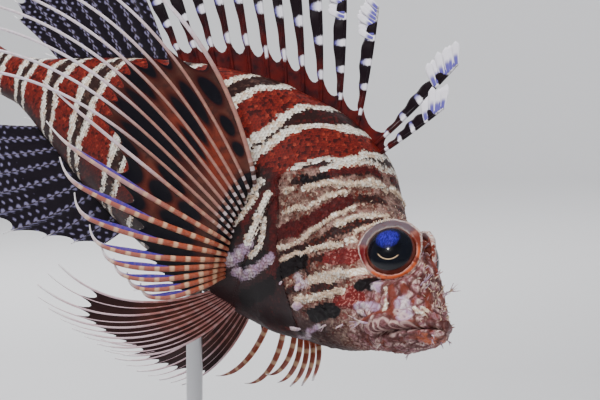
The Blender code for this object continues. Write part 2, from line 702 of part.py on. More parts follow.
def leaf(root, tip, width, thickness, spread):
    """A small tapered skin flap from root to tip, flat across `spread`."""
    root, tip, spread = (np.asarray(v, float) for v in (root, tip, spread))
    along = unit(tip - root)
    across = unit(spread - along * (spread @ along))
    thick = np.cross(along, across)
    rings = []
    for t, share in ((0, 0.75), (0.35, 1.0), (0.7, 0.7), (1, 0.15)):
        centre = root + (tip - root) * t
        rings.append([centre + across * width * share, centre + thick * thickness * share,
                      centre - across * width * share, centre - thick * thickness * share])
    return closed_loft("flap", np.array(rings), None)


# Skin flaps: station, height, length, half width, lean back, lean up; on both sides of the head.
HEAD_FLAPS = (
    (0.100, 0.100, 0.0042, 0.0007, 0.1, 1.0),
    (0.135, 0.104, 0.0036, 0.0006, 0.3, 1.0),
    (0.030, 0.020, 0.0046, 0.0007, -0.6, 0.7),
    (0.060, -0.036, 0.0034, 0.0008, -0.2, -0.6),
    (0.105, -0.045, 0.0048, 0.0013, 0.2, -0.8),
    (0.150, -0.056, 0.0046, 0.0012, 0.6, -0.7),
    (0.200, -0.066, 0.0046, 0.0012, 0.9, -0.4),
)


FLAP_SINK = 0.0008
FLAP_HALF_THICKNESS = 0.00035

# Nostrils: station and height of the front and rear opening; each is a low tube with a pit.
NOSTRILS = ((0.040, 0.006), (0.062, 0.030))
NOSTRIL_OUTLINE = ((0.0009, -0.0006), (0.0008, 0.0008), (0.0005, 0.0010), (0.0004, 0.0003))  # radius, rise


def skin_at(s, height, side, sink):
    """Point below the skin of one side of the head, given its station and height."""
    angles = np.linspace(0.02, math.pi - 0.02, 200)
    heights = section(np.full(200, s), angles)[1]
    phi = side * angles[np.argmin(np.abs(heights - height))]
    return body_point(np.array(s), np.array(phi), -sink)


def head_flaps():
    flaps = []
    for s, height, length, width, back, up in HEAD_FLAPS:
        for side in (1, -1):
            root = skin_at(s, height, side, FLAP_SINK)
            tip = root + direction(s, back, side, up) * (length + FLAP_SINK)
            flaps.append(leaf(root, tip, width, FLAP_HALF_THICKNESS, direction(s, 0.9, 0, 0.45)))
    return flaps


def nostrils():
    """A pair of short tubes on each side of the snout."""
    turn = np.linspace(0, 2 * math.pi, 8, endpoint=False)[:, None]
    tubes = []
    for s, height in NOSTRILS:
        for side in (1, -1):
            root = skin_at(s, height, side, 0.0)
            out, up = direction(s, -0.35, side, 0.5), direction(s, 0, 0, 1)
            up = unit(up - out * (up @ out))
            across = np.cross(out, up)
            rings = [root + out * rise + radius * (np.cos(turn) * across + np.sin(turn) * up)
                     for radius, rise in NOSTRIL_OUTLINE]
            tubes.append(closed_loft("nostril", np.array(rings), None))
    return tubes


def head_and_jaw(skin, jaw_skin):
    """The head with eye sockets and flaps, and the lower jaw below the line of the mouth."""
    head = closed_loft("head", body_rings(SNOUT, gill_line, 26), skin, rear_centre=place(*THROAT))
    corners = []
    for drop in (0.5, -0.5):
        for t in (-0.06, 0.17):                # from in front of the lips to the corner of the mouth
            for lateral in (-0.15, 0.15):
                s = MOUTH_FRONT[0] + t * math.cos(MOUTH_SLOPE)
                height = (MOUTH_FRONT[1] - t * math.sin(MOUTH_SLOPE)
                          + drop * MOUTH_SLIT / STANDARD_LENGTH)
                corners.append(place(s, lateral, height))
    faces = [(0, 1, 3, 2), (4, 6, 7, 5), (0, 4, 5, 1), (2, 3, 7, 6), (0, 2, 6, 4), (1, 5, 7, 3)]
    slab = make_object("mouth_slit", corners, faces)
    face_outwards(slab)
    boolean(head, "DIFFERENCE", slab)
    parts = bodies_of(head.data)
    jaw = head.copy()
    jaw.data = head.data.copy()
    jaw.name = "lower_jaw"
    bpy.context.scene.collection.objects.link(jaw)
    jaw.data.materials.clear()
    jaw.data.materials.append(jaw_skin)
    keep_faces(head, parts[0])
    keep_faces(jaw, parts[1])
    boolean(head, "UNION", head_flaps() + nostrils())
    keep_largest(head)
    boolean(head, "DIFFERENCE", [eyeball("socket", side, GAP, None) for side in (1, -1)])
    keep_largest(head)


def turned(name, outline, finish, sides):
    """Solid of revolution about the Z axis; outline is radius, height from below up."""
    turn = np.linspace(0, 2 * math.pi, sides, endpoint=False)
    rings = [np.stack([r * np.cos(turn), r * np.sin(turn), np.full(sides, z)], 1) for r, z in outline]
    return closed_loft(name, np.array(rings), finish)


def stand(base_finish, rod_finish):
    """A turned base and one rod up to the belly."""
    edge = 0.0012
    turned("stand_base", [(BASE_RADIUS, 0.0), (BASE_RADIUS, BASE_THICKNESS - edge),
                          (BASE_RADIUS - edge, BASE_THICKNESS)], base_finish, sides=56)
    belly_height = place(ROD_STATION, 0.0, profile(ROD_STATION)[1])[2]
    foot = BASE_THICKNESS + GAP
    outline = [(COLLAR_RADIUS, foot), (COLLAR_RADIUS, foot + COLLAR_HEIGHT - 0.001),
               (COLLAR_RADIUS - 0.001, foot + COLLAR_HEIGHT), (ROD_RADIUS, foot + COLLAR_HEIGHT),
               (ROD_RADIUS, belly_height + 0.004)]
    rod = turned("stand_rod", outline, rod_finish, sides=20)
    boolean(rod, "DIFFERENCE", swollen_body("belly_cut"))
    keep_largest(rod)


def main():
    clear_scene()
    skin = material("body_skin", (0.42, 0.09, 0.06), 0.5)
    head_skin = material("head_skin", (0.50, 0.22, 0.18), 0.55)
    jaw_skin = material("jaw_skin", (0.55, 0.38, 0.38), 0.5)
    eye = material("eye", (0.02, 0.02, 0.03), 0.08)
    spines = material("spines", (0.20, 0.05, 0.06), 0.45)
    wings = material("wing_fins", (0.42, 0.20, 0.14), 0.45)
    soft = material("soft_fins", (0.22, 0.16, 0.24), 0.45)
    base = material("stand_base", (0.06, 0.06, 0.065), 0.3)
    steel = material("stand_rod", (0.55, 0.55, 0.56), 0.3, 0.9)

    head_and_jaw(head_skin, jaw_skin)
    for side, word in ((1, "right"), (-1, "left")):
        eyeball(f"eye_{word}", side, 0.0, eye)
    step = 1.5 * GAP / STANDARD_LENGTH      # the gill line runs aslant, so its gap is wider along the body
    closed_loft("trunk_front", body_rings(lambda phi: gill_line(phi) + step, TRUNK_SPLIT, 12), skin,
                front_centre=place(THROAT[0] + step, *THROAT[1:]))
    closed_loft("trunk_rear", body_rings(TRUNK_SPLIT + GAP / STANDARD_LENGTH, TAIL_SPLIT, 8), skin)
    closed_loft("tail_stalk", body_rings(TAIL_SPLIT + GAP / STANDARD_LENGTH, 1.0, 5), skin)

    fins = [dorsal_spines(spines),
            soft_fin("dorsal_fin_soft", soft, 11, SOFT_DORSAL_FEET, SOFT_DORSAL_LENGTHS, SOFT_DORSAL_LEANS),
            soft_fin("anal_fin", soft, 10, ANAL_FEET, ANAL_LENGTHS, ANAL_LEANS, below=True)]
    for side, word in ((1, "right"), (-1, "left")):
        fins.append(pectoral_fin(f"pectoral_fin_{word}", side, wings))
        fins.append(pelvic_fin(f"pelvic_fin_{word}", side, wings))
    for fin in fins:
        boolean(fin, "DIFFERENCE", swollen_body("body_cut"))
        keep_largest(fin)
    caudal_fin(soft)
    stand(base, steel)


if __name__ == "__main__":
    main()
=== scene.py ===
"""Lionfish on a display stand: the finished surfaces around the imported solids.

Each sub-assembly is a class that builds its own meshes and finishes. Units are metres. The
fish is described straight, in fractions of its standard length: s runs back from the snout
tip, lateral to the fish's right and height up; phi is the angle round the body, 0 on the
back and a quarter turn on the right flank. Fish.place() bends it into its pose.
"""
import logging
from collections.abc import Callable
from dataclasses import dataclass, field
from enum import Enum
from math import cos, pi, radians, sin, tan

import bmesh
import bpy
import numpy as np
from mathutils import Matrix, Vector


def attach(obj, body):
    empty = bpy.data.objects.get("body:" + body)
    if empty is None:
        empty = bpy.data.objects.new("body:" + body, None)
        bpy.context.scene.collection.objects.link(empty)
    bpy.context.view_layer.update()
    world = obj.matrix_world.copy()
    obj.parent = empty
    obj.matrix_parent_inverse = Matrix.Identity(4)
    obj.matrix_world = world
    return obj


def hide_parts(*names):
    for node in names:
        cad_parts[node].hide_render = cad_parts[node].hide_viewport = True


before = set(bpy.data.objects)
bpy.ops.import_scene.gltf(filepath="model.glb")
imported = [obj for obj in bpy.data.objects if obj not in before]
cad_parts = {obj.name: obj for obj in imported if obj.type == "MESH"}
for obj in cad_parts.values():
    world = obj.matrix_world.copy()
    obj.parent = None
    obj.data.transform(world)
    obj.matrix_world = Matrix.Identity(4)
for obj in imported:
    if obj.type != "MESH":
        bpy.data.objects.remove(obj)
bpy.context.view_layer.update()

log = logging.getLogger("lionfish")

Array = np.ndarray
Colour = tuple[float, float, float, float]
Material = bpy.types.Material
Object = bpy.types.Object
Random = np.random.Generator
MM = 0.001
FULL_TURN = 2 * pi
RAY_SCALE = 0.1      # metres along a ray for which its attribute holds 1


def srgb(red: int, green: int, blue: int) -> Colour:
    """Linear colour of an 8-bit screen colour.

    Args:
        red, green, blue: screen values from 0 to 255.
    Returns:
        The linear red, green, blue and alpha.
    """
    def linear(value: float) -> float:
        """One channel, by the screen's own curve."""
        return value / 12.92 if value <= 0.04045 else ((value + 0.055) / 1.055) ** 2.4
    return (*(linear(v / 255) for v in (red, green, blue)), 1.0)


def ease(value: Array) -> Array:
    """0 below 0, 1 above 1, and the cubic 3v^2 - 2v^3 between."""
    value = np.clip(value, 0, 1)
    return value * value * (3 - 2 * value)


def bell(value: Array, centre: float, width: float) -> Array:
    """Bump of height 1: the exponential of minus the squared distance over width."""
    return np.exp(-((value - centre) / width) ** 2)


def unit(vectors: Array) -> Array:
    """Each vector divided by its length."""
    return vectors / np.maximum(np.linalg.norm(vectors, axis=-1, keepdims=True), 1e-12)


def dot(a: Array, b: Array) -> Array:
    """Dot product over the last axis, which stays with length 1."""
    return np.sum(a * b, -1, keepdims=True)


def stack(*values: Array | float) -> Array:
    """Values that broadcast together, stacked on a new last axis."""
    return np.stack(np.broadcast_arrays(*values), -1)


def scaled(vectors: Array, amounts: Array) -> Array:
    """Each vector times its amount."""
    return vectors * np.asarray(amounts)[..., None]


def smooth_through(x: Array, knots: Array, values: Array) -> Array:
    """Monotone cubic through the knots: harmonic mean slopes, zero slope at turning points.

    Args:
        x: where to evaluate.
        knots, values: the points that the curve passes through.
    Returns:
        The curve's values, held at its ends.
    """
    x = np.asarray(x, float)
    knots, values = np.asarray(knots, float), np.asarray(values, float)
    steps = np.diff(knots)
    slopes = np.diff(values) / steps
    tangents = np.zeros(len(knots))
    same_way = slopes[:-1] * slopes[1:] > 0
    harmonic = 2 * slopes[:-1] * slopes[1:] / (slopes[:-1] + slopes[1:] + 1e-12)
    tangents[1:-1] = np.where(same_way, harmonic, 0.0)
    tangents[0], tangents[-1] = slopes[0], slopes[-1]
    i = np.clip(np.searchsorted(knots, x) - 1, 0, len(knots) - 2)
    t = np.clip((x - knots[i]) / steps[i], 0, 1)
    return ((2 * t**3 - 3 * t**2 + 1) * values[i] + (t**3 - 2 * t**2 + t) * steps[i] * tangents[i]
            + (3 * t**2 - 2 * t**3) * values[i + 1] + (t**3 - t**2) * steps[i] * tangents[i + 1])


class SoftNoise:
    """Smooth random field: random values on a cubic lattice, eased from point to point."""

    def __init__(self, seed: int, size: int = 37) -> None:
        """Draws the lattice; size is its repeat in lattice steps."""
        self.values = np.random.default_rng(seed).uniform(-1, 1, (size, size, size))
        self.size = size

    def at(self, points: Array, pitch: float, octaves: int = 1) -> Array:
        """Field at the points, each octave half as high and half as wide as the last.

        Args:
            points: positions, with x, y, z on the last axis.
            pitch: lattice step of the first octave.
            octaves: how many layers are summed.
        Returns:
            Values of about -1 to 1, without the last axis.
        """
        total = np.zeros(points.shape[:-1])
        for octave in range(octaves):
            grid = points * (2.0 ** octave / pitch) + 17.3 * octave
            cell = np.floor(grid).astype(int)
            share = ease(grid - cell)
            layer = np.zeros_like(total)
            for corner in np.ndindex(2, 2, 2):
                weight = np.prod(np.where(np.array(corner), share, 1 - share), -1)
                i, j, k = np.moveaxis((cell + corner) % self.size, -1, 0)
                layer += weight * self.values[i, j, k]
            total += layer * 0.5 ** octave
        return total


class Lobes:
    """Rounded cells, one round each jittered seed of a cubic lattice."""

    def __init__(self, seed: int, size: int = 29) -> None:
        """Draws the seeds' places in their cubes; size is the lattice's repeat."""
        self.jitter = np.random.default_rng(seed).uniform(0.1, 0.9, (size, size, size, 3))
        self.size = size

    def crease(self, points: Array, pitch: float) -> Array:
        """Distance to the second nearest seed less that to the nearest, in cells of size pitch.

        Args:
            points: positions, with x, y, z on the last axis.
            pitch: size of a cell.
        Returns:
            Values from 0 on the line between two cells.
        """
        grid = points / pitch
        cell = np.floor(grid).astype(int)
        nearest = second = np.full(points.shape[:-1], 9.0)
        for step in np.ndindex(3, 3, 3):
            there = cell + np.array(step) - 1
            i, j, k = np.moveaxis(there % self.size, -1, 0)
            distance = np.linalg.norm(grid - there - self.jitter[i, j, k], axis=-1)
            second = np.where(distance < nearest, nearest, np.minimum(second, distance))
            nearest = np.minimum(nearest, distance)
        return second - nearest


# The straight fish, in thousandths of its length: station, top, bottom, half width, widest level.
BODY_STATIONS = np.array([
    (-9, 0, -18, 10, -8),
    (4, 10, -28, 26, -12),
    (30, 28, -51, 44, -18),
    (70, 66, -75, 57, -20),
    (100, 82, -88, 64, -20),
    (130, 91, -101, 71, -20),
    (165, 102, -117, 80, -18),
    (200, 118, -127, 88, -14),
    (230, 146, -132, 94, -8),
    (260, 176, -141, 99, 0),
    (300, 195, -149, 104, 8),
    (360, 209, -149, 105, 15),
    (450, 212, -143, 98, 22),
    (550, 197, -125, 84, 28),
    (650, 170, -95, 66, 32),
    (750, 135, -56, 47, 36),
    (820, 108, -28, 35, 38),
    (900, 82, -2, 24, 40),
    (950, 75, 0, 18, 38),
    (1000, 80, -5, 12, 37),
]) / 1000


@dataclass(frozen=True)
class Fish:
    """Shape of the body laid straight, and the pose that bends and tips it.

    The cross-section at a station is four quarter superellipses that meet at the widest
    level; the spine turns smoothly to the head and evenly to the tail.
    """
    length: float = 0.152
    spine_height: float = 0.105
    dive: float = radians(24.4)
    bank: float = radians(-7.5)
    head_turn: float = radians(38.3)
    tail_turn: float = radians(22.5)
    head_lift: float = radians(1.0)
    tail_lift: float = radians(-3.0)
    turn_from: float = 0.20
    turn_to: float = 0.42
    section_power: float = 0.86
    rod_station: float = 0.455
    eye_at: tuple[float, float, float] = (0.115, 0.0352, 0.056)
    eye_radius: float = 0.0405
    eye_turn: float = radians(24.0)
    eye_tilt: float = radians(18.0)
    mouth_front: tuple[float, float] = (0.0, -0.012)
    mouth_slope: float = radians(35)

    def __post_init__(self) -> None:
        """Lays out the spine once: its headings are summed into a line."""
        s = np.linspace(-0.06, 1.6, 417)
        yaw = self.bend(s, self.head_turn, self.tail_turn)
        pitch = self.bend(s, self.head_lift, self.tail_lift)
        forward = stack(np.cos(pitch) * np.cos(yaw), -np.cos(pitch) * np.sin(yaw), -np.sin(pitch))
        steps = (forward[1:] + forward[:-1]) / 2 * (s[0] - s[1])
        line = np.concatenate([np.zeros((1, 3)), np.cumsum(steps, 0)])
        line -= line[np.argmin(np.abs(s - self.turn_to))]
        cd, sd, cb, sb = cos(self.dive), sin(self.dive), cos(self.bank), sin(self.bank)
        pose = np.array([[cd, 0, sd], [0, 1, 0], [-sd, 0, cd]]) @ [[1, 0, 0], [0, cb, -sb], [0, sb, cb]]
        object.__setattr__(self, "spine", (s, yaw, forward, line))
        object.__setattr__(self, "pose", pose)
        origin = -self.posed(self.rod_station, 0.0, self.profile(self.rod_station)[1])
        origin[2] = self.spine_height
        object.__setattr__(self, "origin", origin)

    def bend(self, s: Array, at_head: float, at_tail: float) -> Array:
        """Turn of the spine: eased to the head, in proportion to the tail."""
        return (at_head * ease((self.turn_to - s) / (self.turn_to - self.turn_from))
                + at_tail * np.clip((s - self.turn_to) / (1 - self.turn_to), 0, 1))

    def profile(self, s: Array) -> list[Array]:
        """Top, bottom, half width and widest level at station s."""
        return [smooth_through(s, BODY_STATIONS[:, 0], column) for column in BODY_STATIONS[:, 1:].T]

    def section(self, s: Array, phi: Array) -> tuple[Array, Array]:
        """Lateral and height of the plain body at angle phi.

        Args:
            s, phi: station and angle.
        Returns:
            Lateral and height.
        """
        top, bottom, half_width, widest = self.profile(s)
        rise, side = np.cos(phi), np.sin(phi)
        lateral = half_width * np.sign(side) * np.abs(side) ** self.section_power
        reach = np.where(rise >= 0, top - widest, widest - bottom)
        return lateral, widest + reach * np.sign(rise) * np.abs(rise) ** self.section_power

    def mouth_distance(self, s: Array, height: Array) -> Array:
        """Signed distance above the sloping plane of the mouth."""
        along, up = s - self.mouth_front[0], height - self.mouth_front[1]
        return up * cos(self.mouth_slope) + along * sin(self.mouth_slope)

    def from_eye(self, s: Array, height: Array) -> Array:
        """Distance from the eye's middle, seen from the side, in radii of its tilted rim."""
        return np.hypot((s - self.eye_at[0]) / cos(self.eye_turn),
                        (height - self.eye_at[2]) / cos(self.eye_tilt)) / self.eye_radius

    def relief(self, s: Array, lateral: Array, height: Array) -> Array:
        """How far the solids' head stands out from the plain body.

        Args:
            s, lateral, height: place on the plain body.
        Returns:
            Distance outwards, as a fraction of the length.
        """
        side = np.abs(lateral)
        from_eye = self.from_eye(s, height)
        brow = 0.011 * bell(from_eye, 1.14, 0.20) * ease((side - 0.012) / 0.02)
        brow *= 0.2 + 0.8 * ease((height - self.eye_at[2] + 0.01) / 0.03)
        between_eyes = -0.007 * bell(side, 0, 0.013) * bell(s, 0.12, 0.05) * ease(height / 0.05)
        lip = self.mouth_distance(s, height)
        lips = 0.005 * (bell(lip, 0.008, 0.006) + bell(lip, -0.008, 0.006)) * ease((0.085 - s) / 0.03)
        upper_jaw = 0.006 * bell(s, 0.055, 0.024) * bell(lip, 0.018, 0.011)
        cheek = 0.005 * bell(height, 0.012 - 0.25 * (s - 0.10), 0.010) * ease((s - 0.05) / 0.04)
        cheek *= ease((0.25 - s) / 0.05)
        cheek -= 0.004 * bell(s, 0.232 - 12 * (height - 0.01) ** 2, 0.010) * bell(height, -0.02, 0.07)
        gill_edge = 0.006 * ease((s - 0.27) / 0.08) * bell(height, 0.0, 0.11) * ease((0.37 - s) / 0.005)
        return brow + between_eyes + lips + upper_jaw + cheek + gill_edge

    def frame_at(self, s: Array) -> tuple[Array, Array, Array, Array]:
        """Centre, forward, left and up of the spine at station s, before the pose.

        Args:
            s: station.
        Returns:
            The four, each with x, y, z on the last axis.
        """
        stations, yaws, forwards, line = self.spine
        centre, forward = (stack(*(np.interp(s, stations, column) for column in table.T))
                           for table in (line, forwards))
        forward, yaw = unit(forward), np.interp(s, stations, yaws)
        left = stack(np.sin(yaw), np.cos(yaw), 0)
        return centre, forward, left, np.cross(forward, left)

    def posed(self, s: Array, lateral: Array, height: Array) -> Array:
        """Straight numbers to a point measured from the spine at turn_to.

        Args:
            s, lateral, height: straight numbers.
        Returns:
            Points in metres.
        """
        s, lateral, height = np.broadcast_arrays(*(np.asarray(v, float) for v in (s, lateral, height)))
        centre, _, left, up = self.frame_at(s)
        return (centre - scaled(left, lateral) + scaled(up, height)) * self.length @ self.pose.T

    def place(self, s: Array, lateral: Array, height: Array) -> Array:
        """Straight numbers to a point in the room."""
        return self.posed(s, lateral, height) + self.origin

    def direction(self, s: float, back: float, right: float, up: float) -> Array:
        """Unit vector in the room of a vector given along the fish at station s."""
        _, forward, left, rise = self.frame_at(np.asarray(s, float))
        return unit((-forward * back - left * right + rise * up) @ self.pose.T)

    def shaped(self, s: Array, phi: Array, swell: Array, with_relief: bool) -> tuple[Array, Array, Array]:
        """Station, lateral and height of the body, moved out by swell metres from its centre.

        Args:
            s, phi: station and angle.
            swell: how far out, in metres.
            with_relief: adds the head's relief.
        Returns:
            Station, lateral and height.
        """
        lateral, height = self.section(s, phi)
        centre = self.profile(s)[3]
        spread = np.hypot(lateral, height - centre) + 1e-9
        out = swell / self.length + (self.relief(s, lateral, height) if with_relief else 0.0)
        chin = 0.007 * ease((0.03 - s) / 0.05) * ease(-self.mouth_distance(s, height) / 0.02)
        share = 1 + out / spread
        return s - chin, lateral * share, centre + (height - centre) * share

    def surface(self, s: Array, phi: Array, swell: Array = 0.0, with_relief: bool = True) -> Array:
        """Point of the solids' surface in the room, moved out by swell metres."""
        return self.place(*self.shaped(s, phi, swell, with_relief))

    def skin(self, s: Array, phi: Array, swell: Array = 0.0) -> Array:
        """Point of the skin in the room: drawn in to the eye's rim, and hollow behind the eyeball.

        Args:
            s, phi: station and angle.
            swell: how far out, in metres.
        Returns:
            Points with x, y, z on a new last axis.
        """
        s, lateral, height = self.shaped(s, phi, swell, True)
        out, reach = np.abs(lateral), self.from_eye(s, height)
        rim = (self.eye_at[1] + (s - self.eye_at[0]) * tan(self.eye_turn)
               - (height - self.eye_at[2]) * tan(self.eye_tilt))
        target = np.maximum(rim - 0.013 * ease((0.98 - reach) / 0.14), 0.3 * rim)
        pull = ease((1.6 - reach) / 0.55) * ease((out - 0.010) / 0.016)
        return self.place(s, np.where(lateral < 0, -1, 1) * (out + pull * (target - out)), height)


FISH = Fish()


def grid_quads(rows: int, columns: int, closed: bool = False) -> Array:
    """Quads of a rows x columns grid of vertices, in reading order.

    Args:
        rows, columns: size of the grid.
        closed: joins the last column to the first.
    Returns:
        Quads as an n x 4 array.
    """
    i, j = np.meshgrid(np.arange(rows - 1), np.arange(columns if closed else columns - 1), indexing="ij")
    k = (j + 1) % columns
    quads = stack(i * columns + j, i * columns + k, (i + 1) * columns + k, (i + 1) * columns + j)
    return quads.reshape(-1, 4)


def in_scene(name: str, data: bpy.types.ID) -> Object:
    """Makes an object of the data and links it to the scene.

    Args:
        name, data: the object's name and its data.
    Returns:
        The object.
    """
    made = bpy.data.objects.new(name, data)
    bpy.context.scene.collection.objects.link(made)
    return made


@dataclass
class Piece:
    """A mesh in the making: parts are added as arrays and joined into one object."""
    points: list[Array] = field(default_factory=list)
    faces: list[Array] = field(default_factory=list)
    layers: dict[str, list[Array]] = field(default_factory=dict)
    bake: list[Array] = field(default_factory=list)
    count: int = 0

    def add(self, points: Array, faces: list[Array], bake: Array | None = None, **layers: Array) -> None:
        """Adds one part.

        Args:
            points: vertices, with x, y, z on the last axis.
            faces: arrays of quads or triangles that count from this part's first vertex.
            bake: the vertices' places on the baking map.
            layers: four values a vertex for each named attribute.
        """
        self.points.append(points.reshape(-1, 3))
        self.faces += [array + self.count for array in faces]
        for name, values in layers.items():
            self.layers.setdefault(name, []).append(values.reshape(-1, 4))
        if bake is not None:
            self.bake.append(bake.reshape(-1, 2))
        self.count += len(self.points[-1])

    def finish(self, name: str, finish: Material, slot: str, replaced: tuple[str, ...] = ()) -> Object:
        """Makes the object, shades it smooth, and ties it to the frame.

        Args:
            name: the object's name.
            finish: its material.
            slot: the record's material slot; not used.
            replaced: the CAD nodes that it stands for.
        Returns:
            The object, riding on the one body.
        """
        mesh = bpy.data.meshes.new(name)
        mesh.vertices.add(self.count)
        mesh.vertices.foreach_set("co", np.concatenate(self.points).astype(np.float32).ravel())
        loops = np.concatenate([faces.ravel() for faces in self.faces])
        sizes = np.concatenate([np.full(len(faces), faces.shape[1]) for faces in self.faces])
        starts = np.concatenate([[0], np.cumsum(sizes)[:-1]])
        mesh.loops.add(len(loops))
        mesh.loops.foreach_set("vertex_index", loops.astype(np.int32))
        mesh.polygons.add(len(sizes))
        mesh.polygons.foreach_set("loop_start", starts.astype(np.int32))
        mesh.update(calc_edges=True)
        mesh.validate()
        mesh.polygons.foreach_set("use_smooth", np.full(len(mesh.polygons), True))
        for layer, values in self.layers.items():
            made = mesh.attributes.new(layer, "FLOAT_COLOR", "POINT")
            made.data.foreach_set("color", np.concatenate(values).astype(np.float32).ravel())
        if self.bake:
            order = np.empty(len(mesh.loops), np.int32)
            mesh.loops.foreach_get("vertex_index", order)
            where = np.concatenate(self.bake)[order].astype(np.float32).ravel()
            mesh.uv_layers.new(name="OFBake").uv.foreach_set("vector", where)
        mesh.materials.append(finish)
        made = in_scene(name, mesh)
        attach(made, "root")
        if replaced:
            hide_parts(*replaced)
        log.info("%s: %d vertices, %d triangles", name, self.count, int((sizes - 2).sum()))
        return made


def tube(piece: Piece, path: Array, across: Array, thick: Array, spread: Array, sides: int = 8,
         **layers: Array) -> None:
    """Adds a closed tapered tube: an ellipse carried along a path, with a point at each end.

    Args:
        piece: where it goes.
        path: n x 3 points.
        across, thick: half widths at each point, along and square to spread.
        spread: the way that across lies, one vector or n x 3.
        sides: points round the ellipse.
        layers: n x 4 values for each attribute, the same all round a ring.
    """
    along = unit(np.gradient(path, axis=0))
    side = unit(spread - along * dot(spread, along))
    normal = np.cross(along, side)
    turn = np.linspace(0, FULL_TURN, sides, endpoint=False)
    rings = (path[:, None] + scaled(side[:, None], across[:, None] * np.cos(turn))
             + scaled(normal[:, None], thick[:, None] * np.sin(turn)))
    tip = len(path) * sides
    k = np.arange(sides)
    after = np.roll(k, -1)
    first = stack(after, k, tip)
    last = stack(k + tip - sides, after + tip - sides, tip + 1)
    rounds = {name: np.concatenate([np.repeat(values, sides, 0), values[:1], values[-1:]])
              for name, values in layers.items()}
    piece.add(np.concatenate([rings.reshape(-1, 3), path[:1], path[-1:]]),
              [grid_quads(len(path), sides, True), first, last], **rounds)


def sheet(piece: Piece, middle: Array, normal: Array, half: float, **layers: Array) -> None:
    """Adds a thin closed sheet: a grid moved both ways along its normals and joined at its rim.

    Args:
        piece: where it goes.
        middle: rows x columns x 3 points of the middle surface.
        normal: its unit normals, or one for all.
        half: half thickness, less at the rim.
        layers: rows x columns x 4 values for each attribute.
    """
    rows, columns = middle.shape[:2]
    thickness = np.full((rows, columns), half)
    thickness[[0, -1]] = thickness[:, [0, -1]] = half * 0.3
    shift = scaled(normal, thickness)
    quads = grid_quads(rows, columns)
    size = rows * columns
    index = np.arange(size).reshape(rows, columns)
    rim = np.concatenate([index[0, :-1], index[:-1, -1], index[-1, :0:-1], index[:0:-1, 0]])
    after = np.roll(rim, -1)
    wall = np.stack([rim, rim + size, after + size, after], 1)
    piece.add(np.stack([middle + shift, middle - shift]), [quads, quads[:, ::-1] + size, wall],
              **{name: np.stack([values, values]) for name, values in layers.items()})


def weld(made: Object) -> None:
    """Merges points that coincide, as at the poles of a grid, and turns all faces outwards.

    Args:
        made: the object.
    """
    work = bmesh.new()
    work.from_mesh(made.data)
    bmesh.ops.remove_doubles(work, verts=work.verts, dist=1e-7)
    bmesh.ops.recalc_face_normals(work, faces=work.faces)
    work.to_mesh(made.data)
    work.free()


class Mark(Enum):
    """What a stroke on the hide is: an attribute layer and the channel in it."""
    PALE = ("marks", 0)
    BROWN = ("marks", 1)
    RED = ("marks", 2)
    BLACK = ("marks", 3)
    RUSSET = ("face", 1)
    LILAC = ("face", 2)
    SPOT = ("face", 3)
    SHAPE = ("none", 0)


@dataclass(frozen=True)
class Stroke:
    """A mark drawn along a curve on both sides of the head: half width and rise in mm, and the
    station and angle in degrees of the points that it passes."""
    kind: Mark
    half_width: float
    rise: float
    knots: tuple[tuple[float, float], ...]

    def curve(self, count: int) -> tuple[Array, Array]:
        """Stations and angles in radians of points spread evenly from knot to knot.

        Args:
            count: how many points.
        Returns:
            Stations and angles.
        """
        knots = np.array(self.knots)
        t, place = np.linspace(0, 1, count), np.linspace(0, 1, len(knots))
        return smooth_through(t, place, knots[:, 0]), np.radians(smooth_through(t, place, knots[:, 1]))


# Pairs of white lines round the body: the station of each line, in thousandths, at these angles
# round the flank.
LINE_PHI = np.radians([0, 15, 28, 40, 52, 65, 80, 110, 180])
LINE_PAIRS = np.array([
    ((240, 243, 250, 262, 280, 310, 345, 380, 400),
     (255, 257, 259, 271, 300, 342, 378, 400, 420)),
    ((298, 305, 325, 368, 405, 423, 440, 462, 480),
     (362, 372, 402, 417, 428, 444, 462, 485, 500)),
    ((446, 452, 472, 488, 501, 512, 524, 540, 550),
     (498, 505, 520, 535, 545, 552, 562, 572, 580)),
    ((590, 594, 600, 608, 611, 615, 618, 620, 620),
     (622, 626, 632, 638, 642, 645, 647, 646, 640)),
    ((698, 702, 708, 712, 714, 716, 716, 713, 700),
     (726, 732, 740, 746, 749, 750, 749, 737, 720)),
    ((780, 784, 788, 791, 794, 798, 802, 790, 780),
     (806, 812, 820, 826, 830, 832, 830, 815, 800)),
    ((862, 865, 868, 870, 872, 874, 874, 868, 860),
     (886, 890, 894, 896, 898, 899, 897, 890, 880)),
    ((930, 932, 935, 937, 938, 938, 937, 933, 930),
     (950, 953, 956, 958, 960, 960, 958, 954, 950)),
]) / 1000
LINE_HALF_WIDTH = (0.62, 1.05, 1.0, 0.75, 0.75, 0.75, 0.7, 0.6)      # of each pair, in mm

# Free edge of the gill cover: angle in degrees and station.
COVER_EDGE = np.array([(0, .250), (40, .262), (58, .300), (68, .345), (77, .380), (83, .357), (90, .319),
                       (97.7, .285), (105.4, .259), (122.1, .223), (138.9, .208), (180, .203)])

# Saw-toothed ridges of the head: height at station 0.10, slope, first and last station.
SAW_RIDGES = ((0.006, -0.30, 0.075, 0.24), (0.100, 0.25, 0.12, 0.22), (-0.030, -0.55, 0.08, 0.20))

